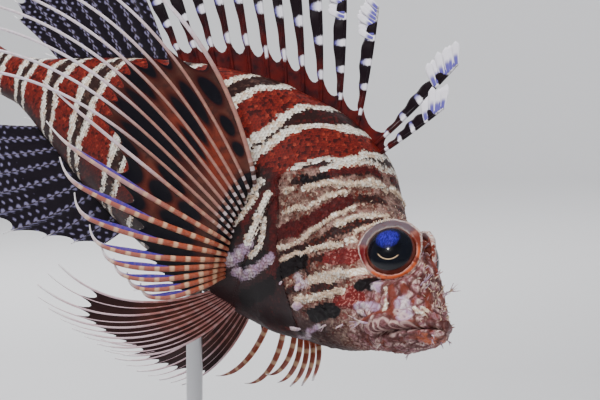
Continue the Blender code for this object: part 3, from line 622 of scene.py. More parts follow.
# Marks of the head: kind, half width and rise in mm, and knots as station in thousandths and
# angle in degrees.
FACE_STROKES = tuple(Stroke(Mark[kind], half_width, rise, tuple((s / 1000, angle) for s, angle in knots))
                     for kind, half_width, rise, *knots in (
    # Lines across the nape and down to the gill cover.
    ("PALE", 0.9, 0.2, (219, 4), (222, 24), (234, 42), (252, 54), (276, 64), (302, 71)),
    ("BROWN", 1, 0, (231, 6), (237, 24), (252, 44), (274, 56), (302, 66), (335, 73)),
    ("BLACK", 0.9, 0, (270, 57), (290, 63), (318, 69)),
    ("PALE", 0.55, 0.25, (330, 76), (342, 78), (352, 79)),
    ("RED", 0.7, 0, (232, 8), (238, 24), (253, 44), (270, 54)),
    ("RED", 2.05, 0, (216, 48), (226, 60), (241, 73), (261, 83), (285, 89), (298, 91)),
    ("PALE", 0.75, 0.28, (226, 46), (242, 58), (262, 71), (284, 79), (316, 85)),
    ("PALE", 0.6, 0.28, (200, 42), (210, 58), (224, 72), (238, 82), (262, 91), (284, 96)),
    ("BROWN", 1, 0, (190, 58), (204, 74), (224, 84), (246, 91), (270, 96.9)),
    ("PALE", 0.6, 0.28, (168, 60), (184, 72), (203, 81), (224, 87), (246, 93.5), (262, 99.5)),
    ("BROWN", 1.1, 0, (172, 44), (186, 58), (196, 68)),
    ("PALE", 0.8, 0.25, (172, 16), (178, 34), (190, 50), (200, 62)),
    ("BROWN", 0.9, 0, (196, 8), (203, 26), (209, 42)),
    ("BROWN", 0.8, 0, (156, 12), (163, 30), (172, 42)),
    ("RED", 0.7, 0, (148, 14), (150, 28)),
    ("PALE", 0.6, 0.2, (140, 16), (146, 26), (158, 40), (170, 54)),
    ("BROWN", 0.6, 0, (182, 68), (190, 76), (206, 84)),
    # Blotches of the cheek.
    ("RED", 2.1, 0.1, (158, 73), (166, 76), (178, 81)),
    ("BROWN", 0.9, 0, (190, 84), (206, 92), (200, 96.9)),
    ("BLACK", 2.2, 0, (222, 92.4), (240, 99.7), (256, 106.8)),
    ("LILAC", 0.8, 0.2, (200, 103), (205, 106.5), (217, 102.3)),
    ("PALE", 1.1, 0.2, (128, 78), (141, 83), (158, 88), (176, 93.5), (195, 99.5)),
    ("PALE", 0.75, 0.3, (137, 92.7), (148, 97), (162, 103.8), (181, 111.4), (205, 117.5)),
    ("BROWN", 1, -0.1, (152, 92), (165, 96.9), (184, 105.5)),
    ("RED", 2.3, 0.15, (110, 93.4), (121, 95.4), (134, 99.1)),
    ("BLACK", 1.2, -0.1, (102, 80), (110, 83), (116, 86)),
    ("BLACK", 1.7, 0, (138, 114), (152, 119.3), (172, 125)),
    ("BROWN", 0.9, 0, (210, 109.1), (222, 114.5), (235, 119.6)),
    # Gill cover's edge and the fleshy base of the wing behind it.
    ("RED", 1.5, 0, (378, 76), (366, 82), (334, 88), (308, 95), (290, 102), (268, 109)),
    ("BROWN", 1, 0, (250, 109), (228, 119.7), (214, 131.3), (208, 152.8)),
    ("PALE", 1.05, 0.4, (402, 81), (414, 87), (424, 92), (431, 99), (436, 107)),
    ("PALE", 0.7, 0.35, (400, 86), (405, 92), (412, 98), (420, 105), (426, 111)),
    ("RED", 0.9, 0, (388, 84), (394, 90), (398, 97)),
    ("PALE", 1.25, 0.4, (377, 84), (376, 90), (372, 96), (374, 102)),
    ("PALE", 0.75, 0.3, (358, 91), (344, 97), (340, 102), (352, 108)),
    ("LILAC", 1.5, 0.3, (366, 103), (374, 109), (387, 116), (404, 121)),
    ("LILAC", 1.4, 0.3, (296, 104), (318, 112), (346, 121), (376, 124)),
    ("BLACK", 1.1, 0, (318, 104), (338, 112), (362, 117)),
    ("BLACK", 1.3, 0, (400, 101), (404, 108), (398, 114)),
    ("BLACK", 2.6, 0, (276, 118.8), (298, 128), (336, 138)),
    ("LILAC", 0.7, 0.1, (165, 136.2), (200, 157.7), (240, 180)),
    # Snout: folds and lobes below the eye, the nostril, pale patches and pores.
    ("RUSSET", 0.95, 0.45, (69, 72), (59, 77), (50, 86)),
    ("PALE", 0.45, 0.5, (79, 74), (70, 82), (58, 91)),
    ("RUSSET", 0.4, -0.35, (85, 82), (76, 88), (66, 94.9)),
    ("LILAC", 0.75, 0.55, (97, 79), (90, 78)),
    ("LILAC", 1.2, 0.1, (103, 97.3), (90, 93), (76, 92)),
    ("RUSSET", 0.85, 0.75, (54, 58), (52, 59)),
    ("SHAPE", 0.35, -0.4, (63, 57), (54, 68), (44, 60), (50, 48), (61, 50), (63, 57)),
    ("LILAC", 1.6, 0.15, (46, 72), (38, 77), (32, 82)),
    ("SPOT", 0.28, -0.3, (42, 85), (41.5, 85.3)),
    ("SPOT", 0.26, -0.3, (31, 84.5), (30.5, 84.8)),
    ("PALE", 0.45, 0.35, (29, 63), (21, 64), (13, 60)),
    ("PALE", 0.4, 0.3, (22, 48), (12, 46)),
    ("RUSSET", 1.1, 0.25, (36, 14), (28, 22), (18, 32)),
    ("RUSSET", 1.2, 0, (132, 14), (118, 20), (105, 17)),
    ("RUSSET", 0.8, -0.2, (90, 6), (75, 10), (60, 8)),
    # Upper jaw plate with its brown upper edge and ringed spots, and the folds of the chin.
    ("SHAPE", 2.2, 0.55, (86, 120.3), (66, 111.7), (46, 103.5), (22, 98.1)),
    ("RUSSET", 0.5, 0.45, (88, 118.3), (74, 107.5), (57, 93), (46, 89.5), (33, 90), (18, 89)),
    ("SPOT", 0.85, 0.12, (66, 123.5), (64, 125.6)),
    ("SPOT", 0.95, 0.12, (46, 110.8), (43, 113.1)),
    ("SPOT", 0.6, 0.12, (34, 103.1), (32, 105.4)),
    ("SPOT", 0.55, 0.12, (21, 98.1), (19, 99.4)),
    ("SPOT", 0.45, 0, (56, 116.3), (55, 119.4)),
    ("RUSSET", 0.35, -0.25, (12, 92), (8, 108.3)),
    ("RUSSET", 0.4, -0.35, (28, 128.6), (32, 146.3), (30, 158.3)),
    ("RUSSET", 0.4, -0.35, (16, 138), (10, 150), (9, 165)),
    ("RUSSET", 0.4, -0.3, (52, 141.3), (58, 156.3), (60, 170)),
    ("RUSSET", 0.4, -0.3, (78, 137.9), (84, 153.7), (88, 171.5)),
))


@dataclass
class Sample:
    """What the hide is like at some points: its attribute layers and its height in metres."""
    layers: dict[str, Array]
    swell: Array


@dataclass(frozen=True)
class Hide:
    """Markings and fine relief, as fields that are a half at each mark's edge."""
    edge: float = 0.8 * MM
    reach: float = 4.5 * MM
    depth: float = 0.22 * MM
    noise: SoftNoise = SoftNoise(5)
    lobes: Lobes = Lobes(12)

    def straight(self, s: Array, fold: Array) -> Array:
        """Points of the plain straight body with both flanks laid on one, in metres."""
        lateral, height = FISH.section(s, fold)
        return stack(s, np.abs(lateral), height) * FISH.length

    def distance(self, points: Array, stroke: Stroke) -> Array:
        """Distance from straight points to a stroke's middle line, or the reach beyond it.

        Args:
            points: straight points in metres.
            stroke: the mark.
        Returns:
            Distances in metres.
        """
        line = self.straight(*stroke.curve(5 * len(stroke.knots) - 4))
        near = np.all((points > line.min(0) - self.reach) & (points < line.max(0) + self.reach), -1)
        mine = points[near]
        best = np.full(len(mine), self.reach)
        for a, b in zip(line, line[1:]):
            share = np.clip((mine - a) @ (b - a) / max((b - a) @ (b - a), 1e-12), 0, 1)
            best = np.minimum(best, np.linalg.norm(mine - a - share[:, None] * (b - a), axis=-1))
        result = np.full(points.shape[:-1], self.reach)
        result[near] = best
        return result

    def cut(self, inside: Array) -> Array:
        """Field of a mark from the distance inside its edge."""
        return np.clip(0.5 + inside / self.edge * 0.5, 0, 1)

    def lines(self, s: Array, fold: Array, marks: Array) -> None:
        """Draws the pairs of white lines with brown between them.

        Args:
            s, fold: station, with its stray, and folded angle.
            marks: the layer that is drawn on.
        """
        for pair, width in zip(LINE_PAIRS, LINE_HALF_WIDTH):
            front, rear = (smooth_through(fold, LINE_PHI, line) for line in pair)
            narrow = width * MM * (1 - 0.45 * ease((fold - 1.4) / 1.2))
            for line in (front, rear):
                far = np.abs(s - line) * FISH.length * 0.86
                marks[..., 0] = np.maximum(marks[..., 0], self.cut(narrow - far))
            inside = np.minimum(s - front, rear - s) * FISH.length
            marks[..., 1] = np.maximum(marks[..., 1], self.cut(inside))

    def relief(self, s: Array, fold: Array, points: Array, cover: Array, crease: Array) -> Array:
        """Fine shape of the hide in metres.

        Rounded lobes stand between creases on the snout; saw-toothed ridges cross brow and
        cheek; the mouth is a groove along its sloping plane between two lips; the gill cover
        stands out just before its edge; the base of the wing is a low mound.

        Args:
            s, fold: station and folded angle.
            points: the same places on the straight body.
            cover: station of the gill cover's edge at each angle.
            crease: the large lobes' creases.
        Returns:
            The height.
        """
        lateral, height = FISH.section(s, fold)
        side = ease((lateral - 0.012) / 0.02)
        calm = 1 - side * ease((1.45 - FISH.from_eye(s, height)) / 0.25)
        head = ease((cover - s) / 0.03)
        snout = ease((0.15 - s) / 0.05)
        small = self.lobes.crease(points * [1.0, 1.0, 0.8] + 0.1, 0.95 * MM)
        out = calm * head * (0.26 * MM * (ease(crease / 0.4) - 0.6) * snout
                             + 0.15 * MM * (ease(small / 0.5) - 0.5) * (0.5 + 0.5 * snout))
        out += calm * head * 0.20 * MM * self.noise.at(points * [1, 1, 0.7], 0.75 * MM, 3)
        saw = 0.5 + 0.5 * np.sin(s * 210)
        for level, slope, start, end in SAW_RIDGES:
            ridge = bell(height, level + slope * (s - 0.10), 0.004)
            ridge *= ease((s - start) / 0.02) * ease((end - s) / 0.02)
            out += side * 0.7 * MM * ridge * (0.4 + 0.6 * saw)
        lip = FISH.mouth_distance(s, height)
        gape = ease((0.070 - s) / 0.006)
        out -= 1.5 * MM * bell(lip, 0.0, 0.0020) * gape
        out += 0.40 * MM * (bell(lip, 0.006, 0.003) + bell(lip, -0.006, 0.003)) * gape
        flank = ease((fold - 1.15) / 0.15) * ease((2.8 - fold) / 0.3)
        out += flank * 0.75 * MM * ease((cover - s) / 0.0025) * ease((s - cover + 0.05) / 0.045)
        mound = ease(1 - np.hypot((s - 0.392) / 0.055, (fold - 1.80) / 0.62))
        return out + 1.1 * MM * mound + 0.05 * MM * self.noise.at(points, 1.6 * MM, 2)

    def sample(self, s: Array, phi: Array) -> Sample:
        """Layers and relief at these stations and angles, of any one shape.

        Args:
            s, phi: station and angle.
        Returns:
            The layers, and the height of the skin.
        """
        fold = np.abs((phi + pi) % FULL_TURN - pi)
        points = self.straight(s, fold)
        other = points + np.where(phi < 0, 0.31, 0.0)[..., None]
        wander = (self.noise.at(other, 5 * MM, 2) * 0.0045
                  + self.noise.at(other + 0.2, 1.5 * MM, 2) * 0.0026)
        cover = smooth_through(fold, np.radians(COVER_EDGE[:, 0]), COVER_EDGE[:, 1])
        layers = {name: np.zeros((*np.shape(s), 4)) for name in ("marks", "face", "none")}
        marks = layers["marks"]
        self.lines(s + wander, fold, marks)
        head = self.cut((cover - s + 0.4 * wander) * FISH.length)
        head = np.where(fold < 1.0, self.cut((0.236 + 0.02 * fold - s) * FISH.length), head)
        behind = ease((s - cover) / 0.006 + 0.5) * ease((fold - 1.28) / 0.06)
        base = behind * ease((0.425 - s) / 0.012) * ease((2.8 - fold) / 0.2)
        flank = ease((fold - 1.22) / 0.06) * (s < 0.41)
        marks[..., 0] *= (1 - head) * (1 - base) * (1 - flank)
        marks[..., 1] = np.maximum(marks[..., 1] * (1 - head), base)
        crease = self.lobes.crease(points * [1.0, 0.8, 0.62], 2.2 * MM)
        swell = self.relief(s, fold, points, cover, crease)
        strayed = points + (wander * FISH.length * 0.7)[..., None]
        for stroke in FACE_STROKES:
            inside = stroke.half_width * MM - self.distance(strayed, stroke)
            name, channel = stroke.kind.value
            layers[name][..., channel] = np.maximum(layers[name][..., channel], self.cut(inside))
            if stroke.rise:
                swell = swell + stroke.rise * MM * ease(inside / (stroke.half_width * MM))
        layers["face"][..., 0] = ease((0.30 - crease) / 0.25)
        # Painted shade on the lower flank and belly, behind the snout.
        belly = ease((fold - radians(108)) / radians(28)) * ease((s - 0.10) / 0.06)
        chin = bell(s, 0.002, 0.012) * ease((fold - 1.9) / 0.4) * 0.8
        del layers["none"]
        return Sample({**layers, "zones": stack(head, np.clip(s, 0, 1), belly, chin)}, swell - self.depth)


HIDE = Hide()


class Value:
    """A node's output that can be added, subtracted and multiplied like a number."""

    def __init__(self, sketch: "Sketch", socket: bpy.types.NodeSocket) -> None:
        """Ties the socket to the graph that it belongs to."""
        self.sketch, self.socket = sketch, socket

    def __add__(self, other: "Value | float") -> "Value":
        """Sum."""
        return self.sketch.math("ADD", self, other)

    def __radd__(self, other: float) -> "Value":
        """Sum, with a number in front."""
        return self.sketch.math("ADD", other, self)

    def __sub__(self, other: "Value | float") -> "Value":
        """Difference."""
        return self.sketch.math("SUBTRACT", self, other)

    def __rsub__(self, other: float) -> "Value":
        """Difference from a number."""
        return self.sketch.math("SUBTRACT", other, self)

    def __mul__(self, other: "Value | float") -> "Value":
        """Product."""
        return self.sketch.math("MULTIPLY", self, other)

    def step(self, low: float, high: float) -> "Value":
        """0 below low, 1 above high and smooth between.

        Args:
            low, high: where the step starts and ends.
        Returns:
            The new value.
        """
        node = self.sketch.node("ShaderNodeMapRange", self, low, high)
        node.interpolation_type = "SMOOTHSTEP"
        return Value(self.sketch, node.outputs[0])

    def ragged(self, noise: "Value", amount: float, softness: float = 0.08) -> "Value":
        """A field cut at a half, its edge moved by noise."""
        return (self + (noise - 0.5) * amount).step(0.5 - softness, 0.5 + softness)


class Sketch:
    """A small helper that lays out a material's nodes."""

    def __init__(self, name: str) -> None:
        """Starts a material with a Principled shader.

        Args:
            name: the material's name.
        """
        self.material = bpy.data.materials.new(name)
        self.material.use_nodes = True
        self.tree = self.material.node_tree
        self.shader = self.tree.nodes["Principled BSDF"]
        self.place = Value(self, self.tree.nodes.new("ShaderNodeTexCoord").outputs["Object"])

    def feed(self, socket: bpy.types.NodeSocket, value: object) -> None:
        """Links a socket to a value's, or sets it.

        Args:
            socket: the input.
            value: a Value, or a constant.
        """
        if isinstance(value, Value):
            self.tree.links.new(value.socket, socket)
        else:
            socket.default_value = value

    def node(self, kind: str, *values: object) -> bpy.types.ShaderNode:
        """A new node with its first inputs fed.

        Args:
            kind: the node's type.
            values: one for each of its first inputs.
        Returns:
            The node.
        """
        node = self.tree.nodes.new(kind)
        for socket, value in zip(node.inputs, values):
            self.feed(socket, value)
        return node

    def shade(self, **values: object) -> None:
        """Sets or links the shader's inputs; underscores in names stand for spaces."""
        for name, value in values.items():
            self.feed(self.shader.inputs[name.replace("_", " ")], value)

    def math(self, operation: str, a: object, b: object = 0.0) -> Value:
        """One Math node's output.

        Args:
            operation: the node's own name for it.
            a, b: its inputs.
        Returns:
            The result.
        """
        node = self.node("ShaderNodeMath", a, b)
        node.operation = operation
        return Value(self, node.outputs[0])

    def mix(self, share: object, a: object, b: object) -> Value:
        """Colour from a at share 0 to b at share 1.

        Args:
            share: how much of b.
            a, b: colours.
        Returns:
            The colour.
        """
        node = self.node("ShaderNodeMix", share)
        node.data_type = "RGBA"
        self.feed(node.inputs[6], a)
        self.feed(node.inputs[7], b)
        return Value(self, node.outputs[2])

    def noise(self, pitch: float, detail: float = 2.0, roughness: float = 0.55,
              stretch: tuple[float, float, float] = (1, 1, 1)) -> Value:
        """Noise of about 0 to 1 whose waves are pitch metres long.

        Args:
            pitch: wave length in metres.
            detail, roughness: as the node's own.
            stretch: scale of the place along x, y and z.
        Returns:
            A field of about 0 to 1.
        """
        mapping = self.node("ShaderNodeMapping", self.place)
        mapping.inputs["Scale"].default_value = stretch
        node = self.node("ShaderNodeTexNoise", Value(self, mapping.outputs[0]))
        node.inputs["Scale"].default_value = 1 / pitch
        node.inputs["Detail"].default_value = detail
        node.inputs["Roughness"].default_value = roughness
        return Value(self, node.outputs[0])

    def net(self, pitch: float) -> Value:
        """Distance to the nearest edge between cells that are pitch metres across.

        Args:
            pitch: size of a cell in metres.
        Returns:
            A field that is 0 on an edge.
        """
        node = self.node("ShaderNodeTexVoronoi", self.place)
        node.feature = "DISTANCE_TO_EDGE"
        node.inputs["Scale"].default_value = 1 / pitch
        return Value(self, node.outputs["Distance"])

    def layer(self, name: str) -> list[Value]:
        """The four channels of a mesh attribute.

        Args:
            name: the attribute's name.
        Returns:
            Red, green, blue and alpha.
        """
        node = self.node("ShaderNodeAttribute")
        node.attribute_name = name
        parts = self.node("ShaderNodeSeparateColor", Value(self, node.outputs["Color"]))
        return [Value(self, socket) for socket in (*parts.outputs[:3], node.outputs["Alpha"])]

    def bump(self, height: Value, depth: float, strength: float) -> Value:
        """Normals of a height field of that depth in metres.

        Args:
            height: field of about 0 to 1.
            depth: what 1 stands for.
            strength: how much of it shows.
        Returns:
            The normals.
        """
        node = self.node("ShaderNodeBump")
        node.inputs["Strength"].default_value = strength
        node.inputs["Distance"].default_value = depth
        self.feed(node.inputs["Height"], height)
        return Value(self, node.outputs[0])


@dataclass(frozen=True)
class HideFinish:
    """Damp scaly hide: brick red, white and brown bars, a veined mauve and cream face, and painted shade on
    the belly and at the scales' rear edges.
    """
    brick: Colour = srgb(112, 30, 22)
    ember: Colour = srgb(158, 60, 42)
    dark_red: Colour = srgb(58, 15, 14)
    maroon: Colour = srgb(84, 26, 24)
    blotch: Colour = srgb(92, 24, 24)
    crimson: Colour = srgb(106, 32, 30)
    rust: Colour = srgb(98, 40, 30)
    white: Colour = srgb(240, 234, 222)
    cream: Colour = srgb(206, 178, 152)
    brown: Colour = srgb(42, 23, 21)
    umber: Colour = srgb(92, 64, 55)
    mauve: Colour = srgb(142, 98, 104)
    taupe: Colour = srgb(134, 104, 92)
    blush: Colour = srgb(204, 172, 164)
    lilac: Colour = srgb(178, 150, 180)
    russet: Colour = srgb(112, 50, 36)
    vein: Colour = srgb(74, 34, 28)
    orange: Colour = srgb(176, 88, 52)
    black: Colour = srgb(16, 10, 12)
    # Painted shade of the lower flank and belly.
    belly: Colour = srgb(42, 24, 27)

    def build(self, name: str, on_scales: bool) -> Material:
        """Builds the material.

        Args:
            name: the material's name.
            on_scales: reads the scales' own tone and the painted shade of their rims from their attribute.
        Returns:
            The material.
        """
        g = Sketch(name)
        pale, brown, red, black = g.layer("marks")
        head, station, belly, chin = g.layer("zones")
        crease, russet, lilac, spot = g.layer("face")
        snout = 1 - station.step(0.085, 0.135)
        edge, fine, broad = (g.noise(pitch * MM, 3) for pitch in (1.0, 0.40, 3.2))
        folds = g.noise(1.7 * MM, 4, 0.62, (1, 1, 0.6))
        tone, rim = g.layer("scale")[:2] if on_scales else (g.noise(0.6 * MM).step(0.36, 0.64), 0.0)
        fleck = tone * 0.6 + fine * 0.4

        bar = g.mix(fleck.step(0.30, 0.48), self.dark_red, self.brick)
        bar = g.mix(fleck.step(0.60, 0.85), bar, self.ember)
        net = (1 - g.net(1.5 * MM).step(0.02, 0.16)) * broad.step(0.38, 0.56)
        face = g.mix(folds.step(0.32, 0.46), self.russet, self.mauve)
        face = g.mix(folds.step(0.48, 0.60), face, self.blush)
        face = g.mix(net * 0.8, face, self.vein)
        face = g.mix(crease * 0.85, face, self.vein)
        nape = g.mix(fleck.step(0.28, 0.50), self.rust, self.umber)
        nape = g.mix(fleck.step(0.46, 0.70), nape, self.taupe)
        nape = g.mix(broad.step(0.46, 0.62) * 0.6, nape, g.mix(0.4, self.mauve, self.cream))
        nape = g.mix(fleck.step(0.74, 0.88), nape, self.cream)
        colour = g.mix(head, bar, g.mix(snout, nape, face))

        shoulder = 1 - station.step(0.40, 0.44)
        between = g.mix(head, g.mix(shoulder, self.umber, self.maroon), self.rust)
        between = g.mix(fleck.step(0.50, 0.85), self.brown, between)
        colour = g.mix(brown.ragged(edge, 0.5), colour, between)
        near = 1 - station.step(0.190, 0.206)
        scurf = g.mix(fleck.step(0.20, 0.52), g.mix(near, self.dark_red, self.blotch),
                      g.mix(near, g.mix(0.45, self.dark_red, self.blotch), self.crimson))
        flecks = g.mix(near, g.mix(0.2, self.blotch, self.ember), g.mix(0.5, self.ember, self.blush))
        scurf = g.mix(fleck.step(0.60, 0.84) * 0.6, scurf, flecks)
        colour = g.mix(red.ragged(edge, 0.4), colour, scurf)
        # Painted shade on the lower flank and belly, broken up by noise.
        colour = g.mix(belly * broad.step(0.20, 0.50) * 0.9, colour, self.belly)
        colour = g.mix(black.ragged(edge, 0.5, 0.14), colour, self.black)
        colour = g.mix(russet.ragged(edge, 0.4, 0.2) * 0.85, colour, self.russet)
        soft = g.mix(folds.step(0.42, 0.62), self.lilac, g.mix(0.5, self.lilac, self.white))
        soft = g.mix(net * 0.6, soft, g.mix(0.5, self.mauve, self.russet))
        colour = g.mix(lilac.ragged(edge, 0.9, 0.28) * 0.85, colour, soft)
        halo = spot.step(0.05, 0.3) * (1 - spot.step(0.4, 0.6))
        colour = g.mix(halo * 0.6, colour, self.blush)
        dark_spot = g.mix(fine.step(0.40, 0.60), self.vein, g.mix(0.5, self.vein, self.mauve))
        colour = g.mix(spot.step(0.42, 0.66) * 0.9, colour, dark_spot)
        chalk = g.mix((fleck + head * 0.20).step(0.42, 0.74), self.white, self.cream)
        colour = g.mix(pale.ragged(edge, 0.75, 0.10), colour, chalk)
        colour = g.mix(chin.step(0.2, 0.7) * folds.step(0.35, 0.6), colour, self.orange)
        # Painted shade: each scale darker towards its free rear edge, where it overhangs the next.
        colour = g.mix(rim * 0.75, colour, g.mix(0.8, colour, self.black))
        relief = g.bump(fine, 0.05 * MM, 0.6) if on_scales else g.bump(fine + folds * 0.5, 0.11 * MM, 0.8)
        g.shade(Base_Color=colour, Roughness=0.40 + fine * 0.22, Normal=relief)
        g.shade(Coat_Weight=0.06, Coat_Roughness=0.25, Specular_IOR_Level=0.30)
        return g.material


@dataclass(frozen=True)
class FinFinish:
    """Membrane between rays: a ground colour, dark ovals with a warm halo, pale spots, and a warm patch of
    painted light as if shining through it.

    Attribute web holds the dark oval field, the warm patch of painted light shining through the
    membrane, the pale spot field and the share from root to edge.
    """
    ground: Colour
    tint_and_painted_light: Colour
    halo: Colour
    oval: Colour
    spot: Colour
    edge: Colour

    def build(self, name: str) -> Material:
        """Builds the material.

        Args:
            name: the material's name.
        Returns:
            The material.
        """
        g = Sketch(name)
        oval, tint_and_painted_light, spot, along = g.layer("web")
        streak, fine = g.noise(2.4 * MM, 3), g.noise(0.5 * MM)
        ground = g.mix(streak.step(0.3, 0.7), g.mix(0.55, self.ground, self.oval), self.ground)
        # Warm streaked patch: painted light, as if lamps shone through the membrane.
        colour = g.mix(tint_and_painted_light * streak.step(0.2, 0.6), ground, self.tint_and_painted_light)
        colour = g.mix(oval.step(0.15, 0.5), colour, self.halo)
        colour = g.mix(oval.step(0.42, 0.62), colour, self.oval)
        colour = g.mix(spot.ragged(fine, 0.25, 0.16), colour, self.spot)
        colour = g.mix(along.step(0.95, 1.0), colour, self.edge)
        g.shade(Base_Color=colour, Roughness=0.32 + fine * 0.2, Normal=g.bump(fine, 0.05 * MM, 0.6),
                Specular_IOR_Level=0.22)
        return g.material


@dataclass(frozen=True)
class RayFinish:
    """Banded fin rays. Attribute ray holds metres from the root / RAY_SCALE, share of the
    length, how strongly it is banded, and the share of the violet flange."""
    dark: Colour
    band: Colour
    free: Colour
    flange: Colour
    rust: Colour = srgb(150, 64, 36)
    tip: Colour = srgb(240, 236, 240)
    plain_gap: Colour = srgb(20, 12, 14)
    banded_gap: Colour = srgb(72, 28, 20)
    plain_bead: Colour = srgb(214, 204, 206)
    period: float = 3.5 * MM
    root_period: float = 2.0 * MM
    root_length: float = 7.5 * MM
    free_from: float = 0.44

    def build(self, name: str) -> Material:
        """Builds the material.

        Args:
            name: the material's name.
        Returns:
            The material.
        """
        g = Sketch(name)
        run, share, banded, flange = g.layer("ray")
        fine = g.noise(0.6 * MM)
        wobble = g.noise(3 * MM) * 0.8

        def bands(period: float) -> Value:
            """Waves from 0 to 1, one each period along the ray."""
            return 0.5 + g.math("SINE", run * (RAY_SCALE / period * FULL_TURN) + wobble) * 0.5

        start, end = ((self.root_length + beyond) / RAY_SCALE for beyond in (-2 * MM, 2 * MM))
        at_root = (1 - run.step(start, end)) * (1 - banded * 0.85)
        rings = bands(self.period).step(0.58, 0.98) * (banded * 0.85)
        body = g.mix(banded * fine.step(0.0, 0.35), self.dark, self.rust)
        free = g.mix(banded, self.free, g.mix(0.94, self.free, self.rust))
        colour = g.mix(share.step(self.free_from - 0.1, self.free_from + 0.12), body, free)
        colour = g.mix(rings, colour, self.band)
        colour = g.mix(flange * (1 - rings), colour, self.flange)
        gap = g.mix(banded, self.plain_gap, self.banded_gap)
        bead = g.mix(banded.step(0.2, 0.8), self.plain_bead, self.band)
        colour = g.mix(at_root, colour, g.mix(bands(self.root_period).step(0.42, 0.58), gap, bead))
        colour = g.mix(share.step(0.80, 0.97), colour, self.tip)
        colour = g.mix(fine.step(0.35, 0.65) * 0.25, colour, self.dark)
        g.shade(Base_Color=colour, Roughness=0.36, Normal=g.bump(fine, 0.05 * MM, 0.5),
                Specular_IOR_Level=0.35)
        return g.material


@dataclass(frozen=True)
class VaneFinish:
    """Dorsal spines and their vanes. Attribute vane holds the pale patch field, violet share,
    red share, and share of the length."""
    dark: Colour = srgb(22, 12, 18)
    wine: Colour = srgb(82, 18, 15)
    white: Colour = srgb(228, 224, 232)
    violet: Colour = srgb(92, 84, 160)

    def build(self, name: str) -> Material:
        """Builds the material.

        Args:
            name: the material's name.
        Returns:
            The material.
        """
        g = Sketch(name)
        patch, violet, red, _ = g.layer("vane")
        fine, broad = g.noise(0.5 * MM, 3), g.noise(2.5 * MM)
        colour = g.mix(red * broad.step(0.2, 0.7), self.dark, self.wine)
        pale = g.mix(violet.step(0.2, 0.9), self.white, self.violet)
        colour = g.mix(patch.ragged(fine, 0.35, 0.12), colour, pale)
        g.shade(Base_Color=colour, Roughness=0.3 + fine * 0.25, Normal=g.bump(fine, 0.05 * MM, 0.6),
                Specular_IOR_Level=0.22)
        return g.material


@dataclass(frozen=True)
class EyeFinish:
    """Wet eye, the upper pupil's violet tint carrying a painted reflection of the lights. Attribute
    iris holds the share from the front pole to the rear one, then height and distance to the
    front, both shifted from -1..1 to 0..1."""
    pupil: Colour = srgb(3, 4, 9)
    lens_tint_and_painted_reflection: Colour = srgb(52, 38, 178)
    iris: Colour = srgb(6, 9, 18)
    gold: Colour = srgb(196, 168, 132)
    rust: Colour = srgb(92, 40, 30)
    crescent_turn: float = radians(25)

    def build(self, name: str) -> Material:
        """Builds the material.

        Args:
            name: the material's name.
        Returns:
            The material.
        """
        g = Sketch(name)
        out, up, fore, _ = g.layer("iris")
        streak = g.noise(0.8 * MM, 3, 0.7, (2.5, 1, 1))
        colour = g.mix(out.step(0.425, 0.465), self.iris, self.rust)
        colour = g.mix(1 - out.step(0.235, 0.245), colour, self.pupil)
        low = fore * sin(self.crescent_turn) - up * cos(self.crescent_turn)
        crescent = out.step(0.238, 0.246) * (1 - out.step(0.252, 0.266)) * low.step(-0.105, -0.065)
        # Violet-blue streaked patch in the upper pupil: the lens's own tint with a painted reflection of the
        # lights.
        square = g.math("POWER", up - 0.66, 2.0) + g.math("POWER", fore - 0.36, 2.0)
        tint_and_painted_light = (1 - square.step(0.012, 0.075)) * (0.22 + streak.step(0.38, 0.66) * 0.7)
        colour = g.mix(tint_and_painted_light * (1 - out.step(0.30, 0.42)), colour, self.lens_tint_and_painted_reflection)
        colour = g.mix(crescent, colour, self.gold)
        g.shade(Base_Color=colour, Roughness=0.25, Specular_IOR_Level=0.15)
        g.shade(Coat_Weight=0.8, Coat_Roughness=0.02, Coat_IOR=1.34)
        return g.material


@dataclass(frozen=True)
class RimFinish:
    """Fleshy rim of the eye: silver grey above and behind, rust orange below and in front, with a
    dark red bar and a painted highlight along its inner edge above and behind. Attribute lid holds
    height, distance to the front and the share outwards."""
    silver: Colour = srgb(92, 78, 84)
    chalk: Colour = srgb(206, 194, 186)
    orange: Colour = srgb(190, 86, 44)
    rust: Colour = srgb(104, 40, 28)
    flesh: Colour = srgb(170, 120, 108)
    red: Colour = srgb(92, 10, 16)

    def build(self, name: str) -> Material:
        """Builds the material.

        Args:
            name: the material's name.
        Returns:
            The material.
        """
        g = Sketch(name)
        up, fore, across, _ = g.layer("lid")
        fine, broad = g.noise(0.5 * MM, 3), g.noise(1.6 * MM, 3)

        def towards(degrees: float, width: float) -> Value:
            """1 where the ring's angle is within width degrees of the given one.

            Args:
                degrees, width: middle and half width of the stretch.
            Returns:
                The mask.
            """
            share = 2 * cos(radians(degrees)), 2 * sin(radians(degrees))
            lean = fore * share[0] + up * share[1] - sum(share) / 2 + broad * 0.10
            edge = cos(radians(width)) + 0.05
            return lean.step(edge - 0.06, edge + 0.06)

        metal = g.mix(across.step(0.70, 0.88), self.silver, self.chalk)
        # Painted highlight: a pale line along the inner edge of the grey part, above and behind.
        metal = g.mix((1 - across.step(0.08, 0.20)) * 0.7, metal, self.chalk)
        metal = g.mix(fine.step(0.55, 0.70), metal, g.mix(0.5, metal, self.rust))
        warm = g.mix(across.step(0.15, 0.45), self.flesh, self.orange)
        warm = g.mix(broad.step(0.50, 0.68), warm, self.rust)
        colour = g.mix(towards(135, 64), self.flesh, metal)
        colour = g.mix(towards(-27, 74), colour, warm)
        colour = g.mix(towards(52, 18), colour, self.rust)
        colour = g.mix(towards(218, 21), colour, self.red)
        pale = g.mix(fine.step(0.40, 0.55), self.flesh, self.chalk)
        skin = g.mix(broad.step(0.34, 0.50), self.rust, pale)
        colour = g.mix(across.step(0.72, 0.90), colour, skin)
        g.shade(Base_Color=colour, Roughness=0.30, Normal=g.bump(fine, 0.06 * MM, 0.6))
        g.shade(Coat_Weight=0.25, Coat_Roughness=0.08, Specular_IOR_Level=0.3)
        return g.material


